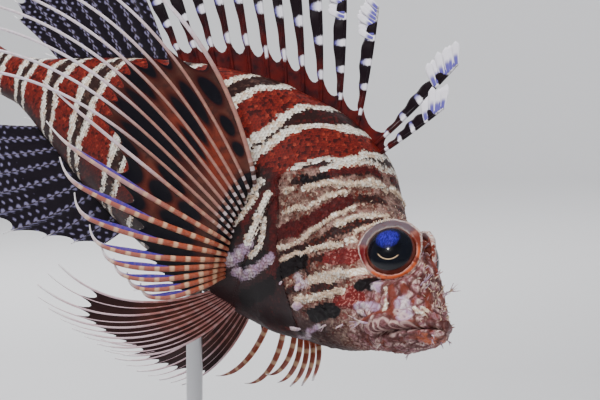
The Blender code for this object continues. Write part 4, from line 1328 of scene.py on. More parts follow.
@dataclass(frozen=True)
class PlainFinish:
    """Stand materials: a base colour with fine scratches and smudges."""
    colour: Colour
    roughness: float
    metallic: float = 0.0
    scratches: tuple[float, float, float] = (1, 1, 1)

    def build(self, name: str) -> Material:
        """Builds the material.

        Args:
            name: the material's name.
        Returns:
            The material.
        """
        g = Sketch(name)
        scratch = g.noise(0.4 * MM, 3, 0.6, self.scratches)
        smudge = g.noise(14 * MM, 3)
        dull = tuple(0.6 * v for v in self.colour[:3]) + (1,)
        g.shade(Base_Color=g.mix(smudge * 0.3, self.colour, dull), Metallic=self.metallic,
                Roughness=self.roughness + smudge * 0.12, Normal=g.bump(scratch, 0.02 * MM, 0.3))
        return g.material


@dataclass
class Skin:
    """One seamless skin over head, jaw and body, a little inside the solids."""
    around: int = 228
    zones: tuple = ((-0.009, 0.14, 168), (0.14, 0.40, 170), (0.40, 1.0, 90))
    # Rings that close the nose: share of the first ring's size and how far it stands out in mm.
    nose: tuple = ((0.0, 0.75), (0.3, 0.7), (0.6, 0.5), (0.85, 0.22))
    nodes: tuple = ("head", "lower_jaw", "trunk_front", "trunk_rear", "tail_stalk")

    def build(self, finish: Material) -> None:
        """Builds the skin as one grid of station and angle, with a cap at each end.

        Args:
            finish: the hide's material.
        """
        s = [np.linspace(start, end, count, endpoint=False) for start, end, count in self.zones]
        phi = np.linspace(-pi, pi, self.around, endpoint=False)
        grid_s, grid_phi = np.meshgrid(np.unique(np.concatenate([*s, [1.0]])), phi, indexing="ij")
        hide = HIDE.sample(grid_s, grid_phi)
        points = FISH.skin(grid_s, grid_phi, hide.swell)
        middle, forward = points[0].mean(0), FISH.direction(0.0, -1, 0, 0)
        nose = [middle + (points[0] - middle) * share + forward * bulge * MM for share, bulge in self.nose]
        points = np.concatenate([np.array(nose), points, points[-1].mean(0) + 0 * points[-1:]])
        layers = {name: np.concatenate([np.repeat(values[:1], len(nose), 0), values, values[-1:]])
                  for name, values in hide.layers.items()}
        piece = Piece()
        piece.add(points, [grid_quads(len(points), self.around, True)], **layers)
        weld(piece.finish("skin", finish, "body_skin", self.nodes))


@dataclass
class Scales:
    """Overlapping plates in rows that follow the back: sunk in front, free behind."""
    lift: float = 0.10 * MM
    first_row: float = 0.135
    last_row: float = 0.985
    row_step: float = 0.80       # from row to row, in pitches
    patch: float = 0.0015        # half width of a plate's patch on the baking map
    seed: int = 21
    # Outline from the sunk front edge round to the free rear edge: along and across, in pitches.
    outline: tuple = ((-0.60, 0.0), (-0.45, 0.42), (0.05, 0.62), (0.50, 0.52), (0.80, 0.26), (0.90, 0.0),
                      (0.80, -0.26), (0.50, -0.52), (0.05, -0.62), (-0.45, -0.42))

    def pitch(self, s: Array) -> Array:
        """Row pitch in metres: fine on the head, widest behind it, finer to the tail."""
        return MM * np.interp(s, [0.12, 0.24, 0.32, 0.60, 0.80, 1.0], [0.52, 0.60, 0.84, 0.82, 0.70, 0.58])

    def layout(self) -> tuple[Array, Array]:
        """Stations and angles of all plates: rows a pitch apart, plates a pitch apart along the row.

        Returns:
            Stations and angles.
        """
        rows, s = [], self.first_row
        fine = np.linspace(0, pi, 241)
        while s < self.last_row:
            pitch = float(self.pitch(s))
            lateral, height = FISH.section(np.full(len(fine), s), fine)
            run = np.concatenate([[0], np.cumsum(np.hypot(np.diff(lateral), np.diff(height)))]) * FISH.length
            first = 0.25 + 0.5 * (len(rows) % 2)
            phi = np.interp(np.arange(first, run[-1] / pitch - 0.2) * pitch, run, fine)
            rows.append(np.stack([np.full(2 * len(phi), s), np.concatenate([phi, -phi])]))
            s += pitch * self.row_step / FISH.length
        return tuple(np.concatenate(rows, 1))

    def build(self, finish: Material) -> None:
        """Builds the plates as coats: nape, cheeks, and each flank's front and rear.

        Args:
            finish: the plates' material.
        """
        s, phi = self.layout()
        fold = np.abs(phi)
        height = FISH.section(s, phi)[1]
        keep = ~((FISH.from_eye(s, height) < 1.50) & (fold > 0.3))
        keep &= ~((s < 0.20) & (fold > radians(125)))
        keep &= ~((s < 0.16) & (fold < radians(40)))
        s, phi, fold = s[keep], phi[keep], fold[keep]
        random = np.random.default_rng(self.seed)
        s = s + random.normal(0, 0.0005, len(s))
        on_head = s < smooth_through(fold, np.radians(COVER_EDGE[:, 0]), COVER_EDGE[:, 1]) - 0.003
        right, rear, body = phi > 0, s >= 0.5, ~on_head & (s < 0.5)
        for name, chosen in (("cheeks", on_head & (fold > 0.9)), ("nape", on_head & (fold <= 0.9)),
                             ("right_front", body & right), ("left_front", body & ~right),
                             ("right_rear", rear & right), ("left_rear", rear & ~right)):
            self.coat(f"scales_{name}", s[chosen], phi[chosen], random, finish)

    def coat(self, name: str, s: Array, phi: Array, random: Random, finish: Material) -> None:
        """Builds one joined mesh of plates at these stations and angles.

        Each plate is a fan over its outline, with a middle that stands out and one below.

        Args:
            name: the piece's name.
            s, phi: station and angle of each plate.
            random: the generator for size, twist, lift and tone.
            finish: the plates' material.
        """
        hide = HIDE.sample(s, phi)
        centre = FISH.skin(s, phi, hide.swell)
        behind, beside = (FISH.skin(*at, HIDE.sample(*at).swell)
                          for at in ((s + 0.004, phi), (s, phi + 0.03)))
        along = unit(behind - centre)
        across = unit(beside - centre - along * dot(beside - centre, along))
        normal = np.cross(along, across)
        normal *= np.sign(dot(normal, centre - FISH.place(s, 0 * s, FISH.profile(s)[3])))
        outline, count = np.array(self.outline), len(s)
        size = self.pitch(s) * random.uniform(0.92, 1.12, count)
        twist = random.normal(0, 0.07, count)[:, None]
        a = outline[:, 0] * np.cos(twist) - outline[:, 1] * np.sin(twist)
        b = outline[:, 0] * np.sin(twist) + outline[:, 1] * np.cos(twist)
        raised = 1 + 0.5 * ease((hide.layers["marks"][:, 0] - 0.4) / 0.3)
        lift = self.lift * random.uniform(0.75, 1.25, count) * raised
        rise = -0.4 * self.lift + (lift[:, None] + 0.4 * self.lift) * ease((outline[:, 0] + 0.6) / 1.4)
        rim = (centre[:, None] + scaled(along[:, None], a * size[:, None])
               + scaled(across[:, None], b * size[:, None]) + scaled(normal[:, None], rise))
        top = centre + scaled(along, 0.05 * size) + scaled(normal, lift * 0.80)
        bottom = centre + scaled(along, 0.1 * size) - normal * (0.6 * self.lift)
        points = np.concatenate([rim, top[:, None], bottom[:, None]], 1)
        around = len(outline)
        k = np.arange(around)
        after = np.roll(k, -1)
        plate = np.concatenate([stack(k, after, around), stack(after, k, around + 1)])
        faces = (plate + (np.arange(count) * (around + 2))[:, None, None]).reshape(-1, 3)
        if np.median(np.sum(np.cross(rim[:, 1] - rim[:, 0], rim[:, 2] - rim[:, 0]) * normal, -1)) < 0:
            faces = faces[:, ::-1]
        tone = np.clip(random.normal(0.5, 0.24, count), 0, 1)
        # Second scale value: painted shade, strongest at the free rear edge and none on the raised middle.
        edge = np.concatenate([0.15 + 0.85 * ease((outline[:, 0] - 0.3) / 0.5), [0.0, 0.6]])
        flat = np.concatenate([outline, [[0.1, 0.0]] * 2]) * self.patch
        bake = stack(0.02 + 0.96 * s, 0.02 + 0.96 * (phi / FULL_TURN + 0.5))[:, None] + flat
        coats = {layer: np.broadcast_to(values[:, None], (count, around + 2, 4))
                 for layer, values in hide.layers.items()}
        piece = Piece()
        piece.add(points, [faces], bake=bake, scale=stack(tone[:, None], edge, 0, 1), **coats)
        piece.finish(name, finish, "body_skin").data.set_sharp_from_angle(angle=radians(50))


@dataclass
class Eye:
    """Domed eyeball that looks out and forward, and the fleshy rim of its socket.

    Both are rings about the eye's axis; angle 0 is towards the snout and a quarter turn is up.
    """
    side: int
    name: str
    rings: int = 44
    around: int = 96
    dome: float = 3.35 * MM
    inner: float = 2.2 * MM
    share: float = 0.93
    set_back: float = 0.4 * MM
    rim_around: int = 121
    rim_sides: int = 20

    def axes(self) -> tuple[Array, Array, Array, Array]:
        """Centre, outward axis, direction to the snout and direction up, in the rim's plane.

        Returns:
            A point and three unit vectors.
        """
        s, lateral, height = FISH.eye_at
        turn, tilt = FISH.eye_turn, FISH.eye_tilt
        centre = FISH.place(s, self.side * lateral, height)
        axis = FISH.direction(s, -sin(turn) * cos(tilt), self.side * cos(turn) * cos(tilt), sin(tilt))
        up = FISH.direction(s, 0, 0, 1)
        up = unit(up - axis * (up @ axis))
        fore = np.cross(up, axis)
        return centre, axis, fore * np.sign(fore @ FISH.direction(s, -1, 0, 0)), up

    def build(self, ball_finish: Material, rim_finish: Material) -> None:
        """Builds the eyeball and the rim.

        Args:
            ball_finish, rim_finish: their materials.
        """
        centre, axis, fore, up = self.axes()
        centre = centre - fore * self.set_back
        radius = FISH.eye_radius * FISH.length * self.share

        def ring(turn: Array, reach: Array, rise: Array) -> Array:
            """Points at these angles, distances from the axis and heights along it."""
            around = scaled(fore, np.cos(turn)) + scaled(up, np.sin(turn))
            return centre + scaled(around, reach) + scaled(axis, rise)

        polar = np.linspace(0, pi, self.rings)[:, None]
        turn = np.linspace(0, FULL_TURN, self.around, endpoint=False)[None, :]
        front, reach = polar < pi / 2, np.sin(polar)
        points = ring(turn, radius * reach, np.where(front, self.dome, self.inner) * np.cos(polar))
        look = stack(np.where(front, reach, 2 - reach) / 2, 0.5 + 0.5 * reach * np.sin(turn),
                     0.5 + 0.5 * reach * np.cos(turn), 1)
        ball = Piece()
        ball.add(points, [grid_quads(self.rings, self.around, True)], iris=look)
        weld(ball.finish(f"eyeball_{self.name}", ball_finish, "eye", (f"eye_{self.name}",)))

        # The rim: a ring of oval section with a groove, thickest over the eye.
        turn = np.linspace(0, FULL_TURN, self.rim_around)[:, None]
        section = np.linspace(0, FULL_TURN, self.rim_sides, endpoint=False)[None, :]
        over = ease((np.sin(turn - 0.7) + 0.25) / 0.8)
        half = (0.62 + 0.62 * over) * MM
        thick = (0.55 + 0.30 * over) * MM
        groove = 1 - 0.30 * over * bell(np.cos(section), 0.05, 0.30) * (np.sin(section) > 0)
        ripple = 1 + 0.10 * np.sin(5 * turn + 2.0) + 0.07 * np.sin(13 * turn) + 0.05 * np.sin(29 * turn + 1)
        reach = radius * 1.04 + half * 0.55 + half * ripple * np.cos(section)
        rise = 0.25 * MM + thick * groove * np.sin(section) - 0.3 * MM * np.cos(section)
        look = stack(0.5 + 0.5 * np.sin(turn), 0.5 + 0.5 * np.cos(turn), 0.5 + 0.5 * np.cos(section), 1)
        rim = Piece()
        rim.add(ring(turn, reach, rise), [grid_quads(self.rim_around, self.rim_sides, True)], lid=look)
        weld(rim.finish(f"eye_rim_{self.name}", rim_finish, "head_skin"))


def stations(web_share: Array, webbed: int, free: int) -> Array:
    """Fractions of each ray's length: even steps up to web_share, then even steps to the tip.

    Args:
        web_share: share of each ray that carries the web.
        webbed, free: stations in and beyond the web.
    Returns:
        Rays x stations.
    """
    web_share = np.asarray(web_share)[:, None]
    inside = np.linspace(0, 1, webbed)[None, :] * web_share
    beyond = web_share + (1 - web_share) * np.linspace(0, 1, free + 1)[None, 1:]
    return np.concatenate([inside, beyond], 1)


def summed(heading: Array, share: Array) -> Array:
    """Points at these shares of the length of a curve of length 1, from its even headings.

    Args:
        heading: unit vectors, n x 3.
        share: shares of the length.
    Returns:
        Points, with the curve's start at 0.
    """
    steps = (heading[1:] + heading[:-1]) / 2 / (len(heading) - 1)
    run = np.concatenate([np.zeros((1, 3)), np.cumsum(steps, 0)])
    fine = np.linspace(0, 1, len(heading))
    return np.stack([np.interp(share, fine, run[:, k]) for k in range(3)], 1)


@dataclass
class Fan:
    """A webbed fan of rays: paths is rays x stations x 3 and the first `webbed` stations carry the web."""
    paths: Array
    fractions: Array
    webbed: int
    facing: Array
    lengths: Array

    def __post_init__(self) -> None:
        """Works out the web's normals and carries them on along the free rays."""
        self.along = unit(np.gradient(self.paths, axis=1))
        normal = unit(np.cross(self.along, np.gradient(self.paths, axis=0)))
        normal *= np.sign(dot(normal, self.facing))
        last = normal[:, self.webbed - 2][:, None]
        free = self.along[:, self.webbed - 1:]
        normal[:, self.webbed - 1:] = unit(last - free * dot(last, free))
        self.normal = normal

    def web(self, piece: Piece, between: int, rows: int, half: float, scallop: Array, paint: Callable,
            layer: str = "web") -> None:
        """Adds the membrane.

        Between two rays the outer edge draws back by scallop, and the sheet bellies a little.

        Args:
            piece: where it goes.
            between: columns from one ray to the next.
            rows: rows from root to edge.
            half: half thickness.
            scallop: share by which the edge draws back in the middle of a gap, or one for each.
            paint: function of ray number and share from root to edge that gives the four values.
            layer: the attribute that they go to.
        """
        rays = len(self.paths)
        q = np.linspace(0, rays - 1, (rays - 1) * between + 1)
        gap = np.minimum(q.astype(int), rays - 2)
        f = q - gap
        arch = (4 * f * (1 - f)) ** 0.75
        t = np.linspace(0, 1, rows)[:, None] * (1 - np.broadcast_to(scallop, rays - 1)[gap] * arch)
        station = t * (self.webbed - 1)
        k = np.minimum(station.astype(int), self.webbed - 2)
        g, share = (station - k)[..., None], f[None, :, None]

        def sample(values: Array, ray: Array) -> Array:
            """Values along one ray at each row's station."""
            return values[ray, k] * (1 - g) + values[ray, k + 1] * g

        this, other = sample(self.paths, gap), sample(self.paths, gap + 1)
        normal = unit(sample(self.normal, gap) * (1 - share) + sample(self.normal, gap + 1) * share)
        width = np.linalg.norm(this - other, axis=-1, keepdims=True)
        middle = this * (1 - share) + other * share - normal * width * 0.05 * arch[None, :, None]
        sheet(piece, middle, normal, half, **{layer: stack(*paint(q, t))})

    def rays(self, piece: Piece, across: Array, thick: Array, banded: Array, sides: int = 8,
             share: Array | None = None) -> None:
        """Adds one tapered tube for each ray.

        Args:
            piece: where they go.
            across, thick: half widths, rays x stations.
            banded: how strongly each ray is banded, rays x 1.
            sides: points round each tube.
            share: what the finish takes as the share of the length, if not that itself.
        """
        share = self.fractions if share is None else share
        for i, path in enumerate(self.paths):
            look = stack(self.run(i), share[i], banded[i], 0)
            tube(piece, path, across[i], thick[i], np.cross(self.normal[i], self.along[i]), sides, ray=look)

    def run(self, ray: int) -> Array:
        """Distance from the root along one ray, as its attribute holds it."""
        return self.fractions[ray] * self.lengths[ray] / RAY_SCALE


def swept(roots: Array, start: Array, end: Array, late: Array, lengths: Array, back: Array, rise: Array,
          fractions: Array, hook: Array) -> Array:
    """Rays that leave their plane's rear at one angle and curve to another.

    Args:
        roots: rays x 3 points.
        start, end: each ray's first and last angle in degrees.
        late: power of the share of length that the angle follows.
        lengths: each ray's length.
        back, rise: the plane's vectors, one each or one a ray.
        fractions: shares of the length at which points are wanted.
        hook: degrees by which the last fifth of each ray turns up.
    Returns:
        Rays x stations x 3 points.
    """
    fine = np.linspace(0, 1, 61)
    back, rise = np.broadcast_to(back, roots.shape), np.broadcast_to(rise, roots.shape)
    paths = []
    for i, root in enumerate(roots):
        angle = start[i] + (end[i] - start[i]) * fine ** late[i] - hook[i] * ease((fine - 0.80) / 0.2)
        heading = scaled(rise[i], np.sin(np.radians(angle))) - scaled(back[i], np.cos(np.radians(angle)))
        paths.append(summed(heading, fractions[i]) * lengths[i] + root)
    return np.array(paths)


def midline(feet: Array, lengths: Array, leans: Array, curl: float, fractions: Array, below: bool) -> Array:
    """Rays in the middle plane, leaning back from the spine's own up (or down) and curling on.

    Args:
        feet: each ray's station.
        lengths: each ray's length.
        leans: angles at the root in radians.
        curl: how much the angle grows to the tip.
        fractions: shares of the length at which points are wanted.
        below: sets the rays under the fish.
    Returns:
        Rays x stations x 3 points.
    """
    phi, up = (pi, -1) if below else (0.0, 1)
    paths = []
    for foot, length, lean, share in zip(feet, lengths, leans, fractions):
        root = FISH.surface(np.array(foot), np.array(phi), -1.2 * MM, False)
        angle = lean + curl * np.linspace(0, 1, 31)
        heading = (scaled(FISH.direction(foot, 0, 0, up), np.cos(angle))
                   + scaled(FISH.direction(foot, 1, 0, 0), np.sin(angle)))
        paths.append(summed(heading, share) * length + root)
    return np.array(paths)


def fin_plane(side: int, back: Array, rise: Array) -> tuple[Array, Array, Array]:
    """Unit vectors of a paired fin's plane: to its rear, to its upper edge and out of its face.

    Args:
        side: 1 for the right, -1 for the left.
        back, rise: ways to the rear and the upper edge, along the fish.
    Returns:
        Three unit vectors.
    """
    back = FISH.direction(FISH.turn_to, back[0], back[1] * side, back[2])
    rise = FISH.direction(FISH.turn_to, rise[0], rise[1] * side, rise[2])
    rise = unit(rise - back * (rise @ back))
    outward = np.cross(back, rise)
    return back, rise, outward * np.sign(outward @ FISH.direction(FISH.turn_to, 0, side, 0))


FIN_RISE = (0.430, 0.033, 0.902)
WING_KNOTS = np.array([0, 1, 3, 7, 8, 12, 16]) / 16

# Dark ovals of the wings: ray number, share from root to edge, half width in rays and half length
# in shares.
WING_OVALS = (
    (0.5, 0.93, 0.4, 0.1), (0.5, 0.7, 0.3, 0.1), (0.52, 0.47, 0.26, 0.07), (0.5, 0.32, 0.3, 0.05),
    (1.5, 0.62, 0.34, 0.14), (1.5, 0.92, 0.34, 0.1), (2.5, 0.55, 0.36, 0.15), (2.5, 0.9, 0.36, 0.1),
    (3.5, 0.85, 0.36, 0.14), (3.5, 0.45, 0.26, 0.1), (4.5, 0.62, 0.42, 0.26), (5.5, 0.68, 0.44, 0.24),
    (6.5, 0.6, 0.44, 0.22), (5.5, 0.97, 0.3, 0.05), (6.5, 0.95, 0.42, 0.08), (7.5, 0.85, 0.4, 0.12),
    (7.5, 0.5, 0.4, 0.1), (8.5, 0.6, 0.4, 0.09), (8.5, 0.82, 0.44, 0.09), (8.5, 0.38, 0.4, 0.09),
    (9.5, 0.45, 0.44, 0.14), (9.5, 0.8, 0.44, 0.12), (10.5, 0.6, 0.46, 0.3), (11.5, 0.6, 0.46, 0.3),
    (12.5, 0.6, 0.46, 0.3), (13.5, 0.6, 0.46, 0.3), (14.5, 0.6, 0.4, 0.3), (15.5, 0.5, 0.4, 0.3),
)


@dataclass(frozen=True)
class WingShape:
    """How one wing's rays lie: angles in degrees, lengths and web shares at WING_KNOTS, and
    stations and angles in degrees of the first and last root."""
    side: int
    name: str
    start: tuple
    end: tuple
    late: tuple
    length: tuple
    web_share: tuple
    root_s: tuple
    root_phi: tuple


RIGHT_WING = WingShape(1, "right", (104, 117, 124, 137, 142, 178, 201), (166, 192, 190, 200, 138, 146, 138),
                       (1.4, 2.0, 1.8, 2.6, 3.2, 3.0, 3.4), (0.082, 0.098, 0.104, 0.086, 0.058, 0.037, 0.024),
                       (0.42, 0.44, 0.47, 0.55, 0.66, 0.76, 0.74), (0.405, 0.395), (86, 134))
LEFT_WING = WingShape(-1, "left", (138, 146, 152, 166, 185, 255, 294), (160, 162, 166, 176, 178, 150, 227),
                      (1.4, 2.0, 1.8, 2.6, 3.2, 4.0, 4.0), (0.082, 0.098, 0.104, 0.086, 0.058, 0.030, 0.026),
                      (0.42, 0.44, 0.47, 0.55, 0.58, 0.48, 0.48), (0.408, 0.351), (86, 136))


@dataclass
class PectoralFin:
    """One large wing-like fin of seventeen rays: dark ovals above, banded fleshy rays below."""
    shape: WingShape
    count: int = 17
    plane_back: tuple = (0.816, 0.413, -0.404)
    flare_back: tuple = (0.47, 0.65, -0.60)
    root_depth: float = 1.6 * MM
    stem_height: float = 2.8 * MM
    stem_length: float = 6 * MM
    dish_depth: float = 3.0 * MM
    hook: float = 52.0           # turn of the right fin's lower tips, in degrees
    web_half: float = 0.10 * MM

    def paint(self, q: Array, t: Array) -> tuple:
        """Web values: ovals as rounded bumps, painted light shining through the upper middle, no spots.

        Args:
            q, t: ray number, and share from root to edge.
        Returns:
            The four values.
        """
        oval = np.zeros_like(t)
        for ray, share, half_q, half_t in WING_OVALS:
            far = ((q - ray) / half_q) ** 2 + ((t - share) / half_t) ** 2
            oval = np.maximum(oval, 1.15 * np.exp(-0.85 * far))
        oval = np.maximum(oval, 0.9 * ease((0.20 - t) / 0.06))
        # Painted light shining through the membrane: a warm patch in the upper middle and a weaker one lower
        # down.
        tint_and_painted_light = 0.8 * bell(q, 2.8, 2.0) * bell(t, 0.40, 0.28) + 0.4 * bell(q, 8.5, 1.2) * bell(t, 0.6, 0.3)
        return oval, tint_and_painted_light, 0, t

    def fan(self, webbed: int, free: int) -> Fan:
        """The fin's rays with this many stations in and beyond the web.

        Args:
            webbed, free: stations in and beyond the web.
        Returns:
            The rays, dished and led out of the body by a stem.
        """
        shape, side, ray = self.shape, self.shape.side, np.arange(self.count)
        u = np.linspace(0, 1, self.count)
        start, end, late, length, web_share = (np.interp(u, WING_KNOTS, values) for values in (
            shape.start, shape.end, shape.late, shape.length, shape.web_share))
        phi = side * np.radians(np.interp(u, [0, 1], shape.root_phi))
        roots = FISH.surface(np.interp(u, [0, 1], shape.root_s), phi, -self.root_depth, False)
        plain, flare = np.array(self.plane_back), np.array(self.flare_back)
        planes = [fin_plane(side, plain + (flare - plain) * share, FIN_RISE)
                  for share in ease((ray - 6) / 5) * (side < 0)]
        back, rise, outward = (np.array(vectors) for vectors in zip(*planes))
        fractions = stations(web_share, webbed, free)
        hook = self.hook * ease((ray - 8) / 3) * (side > 0)
        paths = swept(roots, start, end, late, length, back, rise, fractions, hook)
        dish = self.dish_depth * np.sin(np.clip(fractions / web_share[:, None], 0, 2) * pi / 2)
        stem = self.stem_height * ease(fractions * length[:, None] / self.stem_length)
        outward = outward[:, None]
        return Fan(paths + scaled(outward, dish + stem), fractions, webbed, outward, length)

    def build(self, web_finish: Material, ray_finish: Material) -> None:
        """Builds the membrane and the rays.

        Args:
            web_finish, ray_finish: their materials.
        """
        fan, name = self.fan(34, 40), self.shape.name
        web, rays = Piece(), Piece()
        scallop = np.interp(np.arange(self.count - 1), [0, 3, 8, 10, 15], [0.16, 0.12, 0.16, 0.30, 0.35])
        fan.web(web, 10, 64, self.web_half, scallop, self.paint)
        web.finish(f"pectoral_web_{name}", web_finish, "wing_fins", (f"pectoral_fin_{name}",))
        t, near = fan.fractions, self.shape.side > 0
        low = ease((np.arange(self.count) - 7.0) / 3)[:, None]
        swell, late, deep = (0.32, 0.8, 0.0) if near else (0.50, 1.2, 0.34)
        lead = 0.16 * (np.arange(self.count) == 0)[:, None]
        plump = low * np.sin(np.clip(t, 0, 1) ** late * pi) ** 0.7
        across = (0.40 * (1 - 0.30 * t) + lead + swell * plump) * MM
        across *= 0.35 + 0.65 * ease((1.0 - t) / 0.18)
        thick = (0.36 * (1 - 0.40 * t) + 0.08 * low + deep * plump) * MM
        thick[:, :4] += 0.25 * MM
        share = t if near else t - 0.45 * low * np.sin(t * pi)
        fan.rays(rays, across, thick, 0.15 + 0.85 * low, share=share)
        if near:
            self.flanges(rays, fan, low)
        rays.finish(f"pectoral_rays_{name}", ray_finish, "wing_fins")

    def flanges(self, piece: Piece, fan: Fan, low: Array) -> None:
        """Adds a soft violet flange along the upper edge of each fleshy ray's outer part.

        Args:
            piece: where they go.
            fan: the fin's rays.
            low: how fleshy each ray is, rays x 1.
        """
        tall = bell(fan.fractions, 0.64, 0.21) * low
        up = unit(np.cross(fan.normal, fan.along))
        up *= np.sign(dot(up, FISH.direction(FISH.turn_to, *FIN_RISE)))
        for i in np.flatnonzero(low[:, 0] > 0.5):
            look = stack(fan.run(i), fan.fractions[i], 0, ease((tall[i] - 0.1) / 0.4))
            path = fan.paths[i] + scaled(up[i], 0.72 * MM * tall[i])
            tube(piece, path, (0.14 + 0.42 * tall[i]) * MM, (0.12 + 0.08 * tall[i]) * MM, up[i], ray=look)


@dataclass
class PelvicFin:
    """One belly fin: thin pink rays on a dark membrane."""
    side: int
    name: str
    start: tuple[float, float]
    end: tuple[float, float]
    count: int = 11
    feet: tuple[float, float] = (0.362, 0.410)
    foot_angle: float = radians(159)
    root_depth: float = 1.4 * MM
    lengths: tuple = (0.031, 0.047, 0.040)       # of the first, longest and last ray
    plane_back: tuple = (0.840, 0.360, -0.404)
    web_share: float = 0.80
    web_half: float = 0.10 * MM

    def build(self, web_finish: Material, ray_finish: Material) -> None:
        """Builds the membrane and the rays.

        Args:
            web_finish, ray_finish: their materials.
        """
        u, same = np.linspace(0, 1, self.count), np.ones(self.count)
        start, end, s = (np.interp(u, [0, 1], pair) for pair in (self.start, self.end, self.feet))
        length = np.interp(u, (0.0, 0.75, 1.0), self.lengths)
        back, rise, outward = fin_plane(self.side, self.plane_back, FIN_RISE)
        roots = FISH.surface(s, self.side * self.foot_angle * same, -self.root_depth, False)
        t = stations(self.web_share * same, 30, 12)
        paths = swept(roots, start, end, 1.4 * same, length, back, rise, t, 0 * same)
        fan = Fan(paths, t, 30, outward, length)
        web, rays = Piece(), Piece()
        # Second web value: painted light shining through the membrane near the root.
        fan.web(web, 6, 40, self.web_half, 0.12, lambda q, t: (0.5 * ease(t), 0.4 * bell(t, 0.3, 0.3), 0, t))
        web.finish(f"pelvic_web_{self.name}", web_finish, "wing_fins", (f"pelvic_fin_{self.name}",))
        strong = np.where(np.arange(self.count) % 2 == 0, 1.0, 0.55)[:, None]
        fan.rays(rays, (0.32 - 0.10 * t) * strong * MM, (0.30 - 0.10 * t) * strong * MM, 0.3 * same[:, None])
        rays.finish(f"pelvic_rays_{self.name}", ray_finish, "wing_fins")


@dataclass
class SpottedFin:
    """A soft fin of the middle plane: dark web, fine rays and rows of pale spots.

    Feet are the stations of the first and last ray, and leans their angles in degrees.
    """
    name: str
    node: str
    lengths: tuple[float, ...]
    feet: tuple[float, float] = (0, 0)
    leans: tuple[float, float] = (0, 0)
    below: bool = False
    spot_pitch: float = 2.5 * MM
    web_half: float = 0.11 * MM
    scallop: float = 0.10

    def paint(self, q: Array, t: Array) -> tuple:
        """Web values: rows of spots on and between the rays, staggered from row to row.

        Args:
            q, t: ray number, and share from root to edge.
        Returns:
            The four values.
        """
        length = np.interp(q, np.arange(len(self.lengths)), self.lengths) * FISH.length
        row = t * length / self.spot_pitch + 0.22 * np.sin(q * 2.1) + 0.10 * np.sin(q * 5.7 + 1)
        on_ray = np.hypot((q - np.round(q)) / 0.30, (row - np.round(row)) / 0.42)
        late = row + 0.5 - np.round(row + 0.5)
        between = np.hypot((q - np.floor(q) - 0.5) / 0.22, late / 0.34)
        spot = np.maximum(np.clip(1.0 - 0.75 * on_ray, 0, 1),
                          0.9 * np.clip(1.0 - 0.9 * between, 0, 1) * ease((t - 0.35) / 0.2))
        return 0.35, 0, spot * ease((row - 0.6) / 0.5), t

    def fan(self) -> Fan:
        """The rays' paths.

        Returns:
            The rays, webbed nearly to their tips.
        """
        u, lengths = np.linspace(0, 1, len(self.lengths)), np.array(self.lengths) * FISH.length
        fractions = stations(np.full(len(u), 0.93), 36, 4)
        leans = np.radians(np.interp(u, [0, 1], self.leans))
        paths = midline(np.interp(u, [0, 1], self.feet), lengths, leans, radians(10), fractions, self.below)
        return Fan(paths, fractions, 36, FISH.direction(FISH.turn_to, 0, 1, 0), lengths)

    def build(self, web_finish: Material, ray_finish: Material) -> None:
        """Builds the membrane and the rays.

        Args:
            web_finish, ray_finish: their materials.
        """
        fan, web, rays = self.fan(), Piece(), Piece()
        fan.web(web, 10, 72, self.web_half, self.scallop, self.paint)
        web.finish(f"{self.name}_web", web_finish, "soft_fins", (self.node,))
        size = (0.24 - 0.10 * fan.fractions) * MM
        fan.rays(rays, size, size * 1.1, np.ones((len(size), 1)), 6)
        rays.finish(f"{self.name}_rays", ray_finish, "soft_fins")


class TailFin(SpottedFin):
    """The rounded tail fin, a fan of rays behind the end of the spine."""

    def fan(self) -> Fan:
        """The rays' paths: straight rays spread evenly, a little shorter at the corners.

        Returns:
            The rays, webbed nearly to their tips.
        """
        u = np.linspace(-1, 1, len(self.lengths))[:, None]
        top, bottom = (float(v) for v in FISH.profile(1.0)[:2])
        middle, half = (top + bottom) / 2, (top - bottom) / 2 * 0.86
        lengths = 0.30 * (1 - 0.10 * u**2)
        fractions = stations(np.full(len(u), 0.95), 36, 4)
        angle = radians(30) * u * (1 - 0.25 * fractions)
        run = fractions * lengths
        paths = FISH.place(1.002 - 0.012 * (1 - fractions) + run * np.cos(angle), 0 * run,
                           middle + half * u + run * np.sin(angle))
        return Fan(paths, fractions, 36, FISH.direction(0.9, 0, 1, 0), lengths[:, 0] * FISH.length)


@dataclass
class Spine:
    """One dorsal spine: shares of its length and, at each, its point and directions."""
    t: Array
    path: Array
    along: Array
    normal: Array
    to_rear: Array
    room: Array


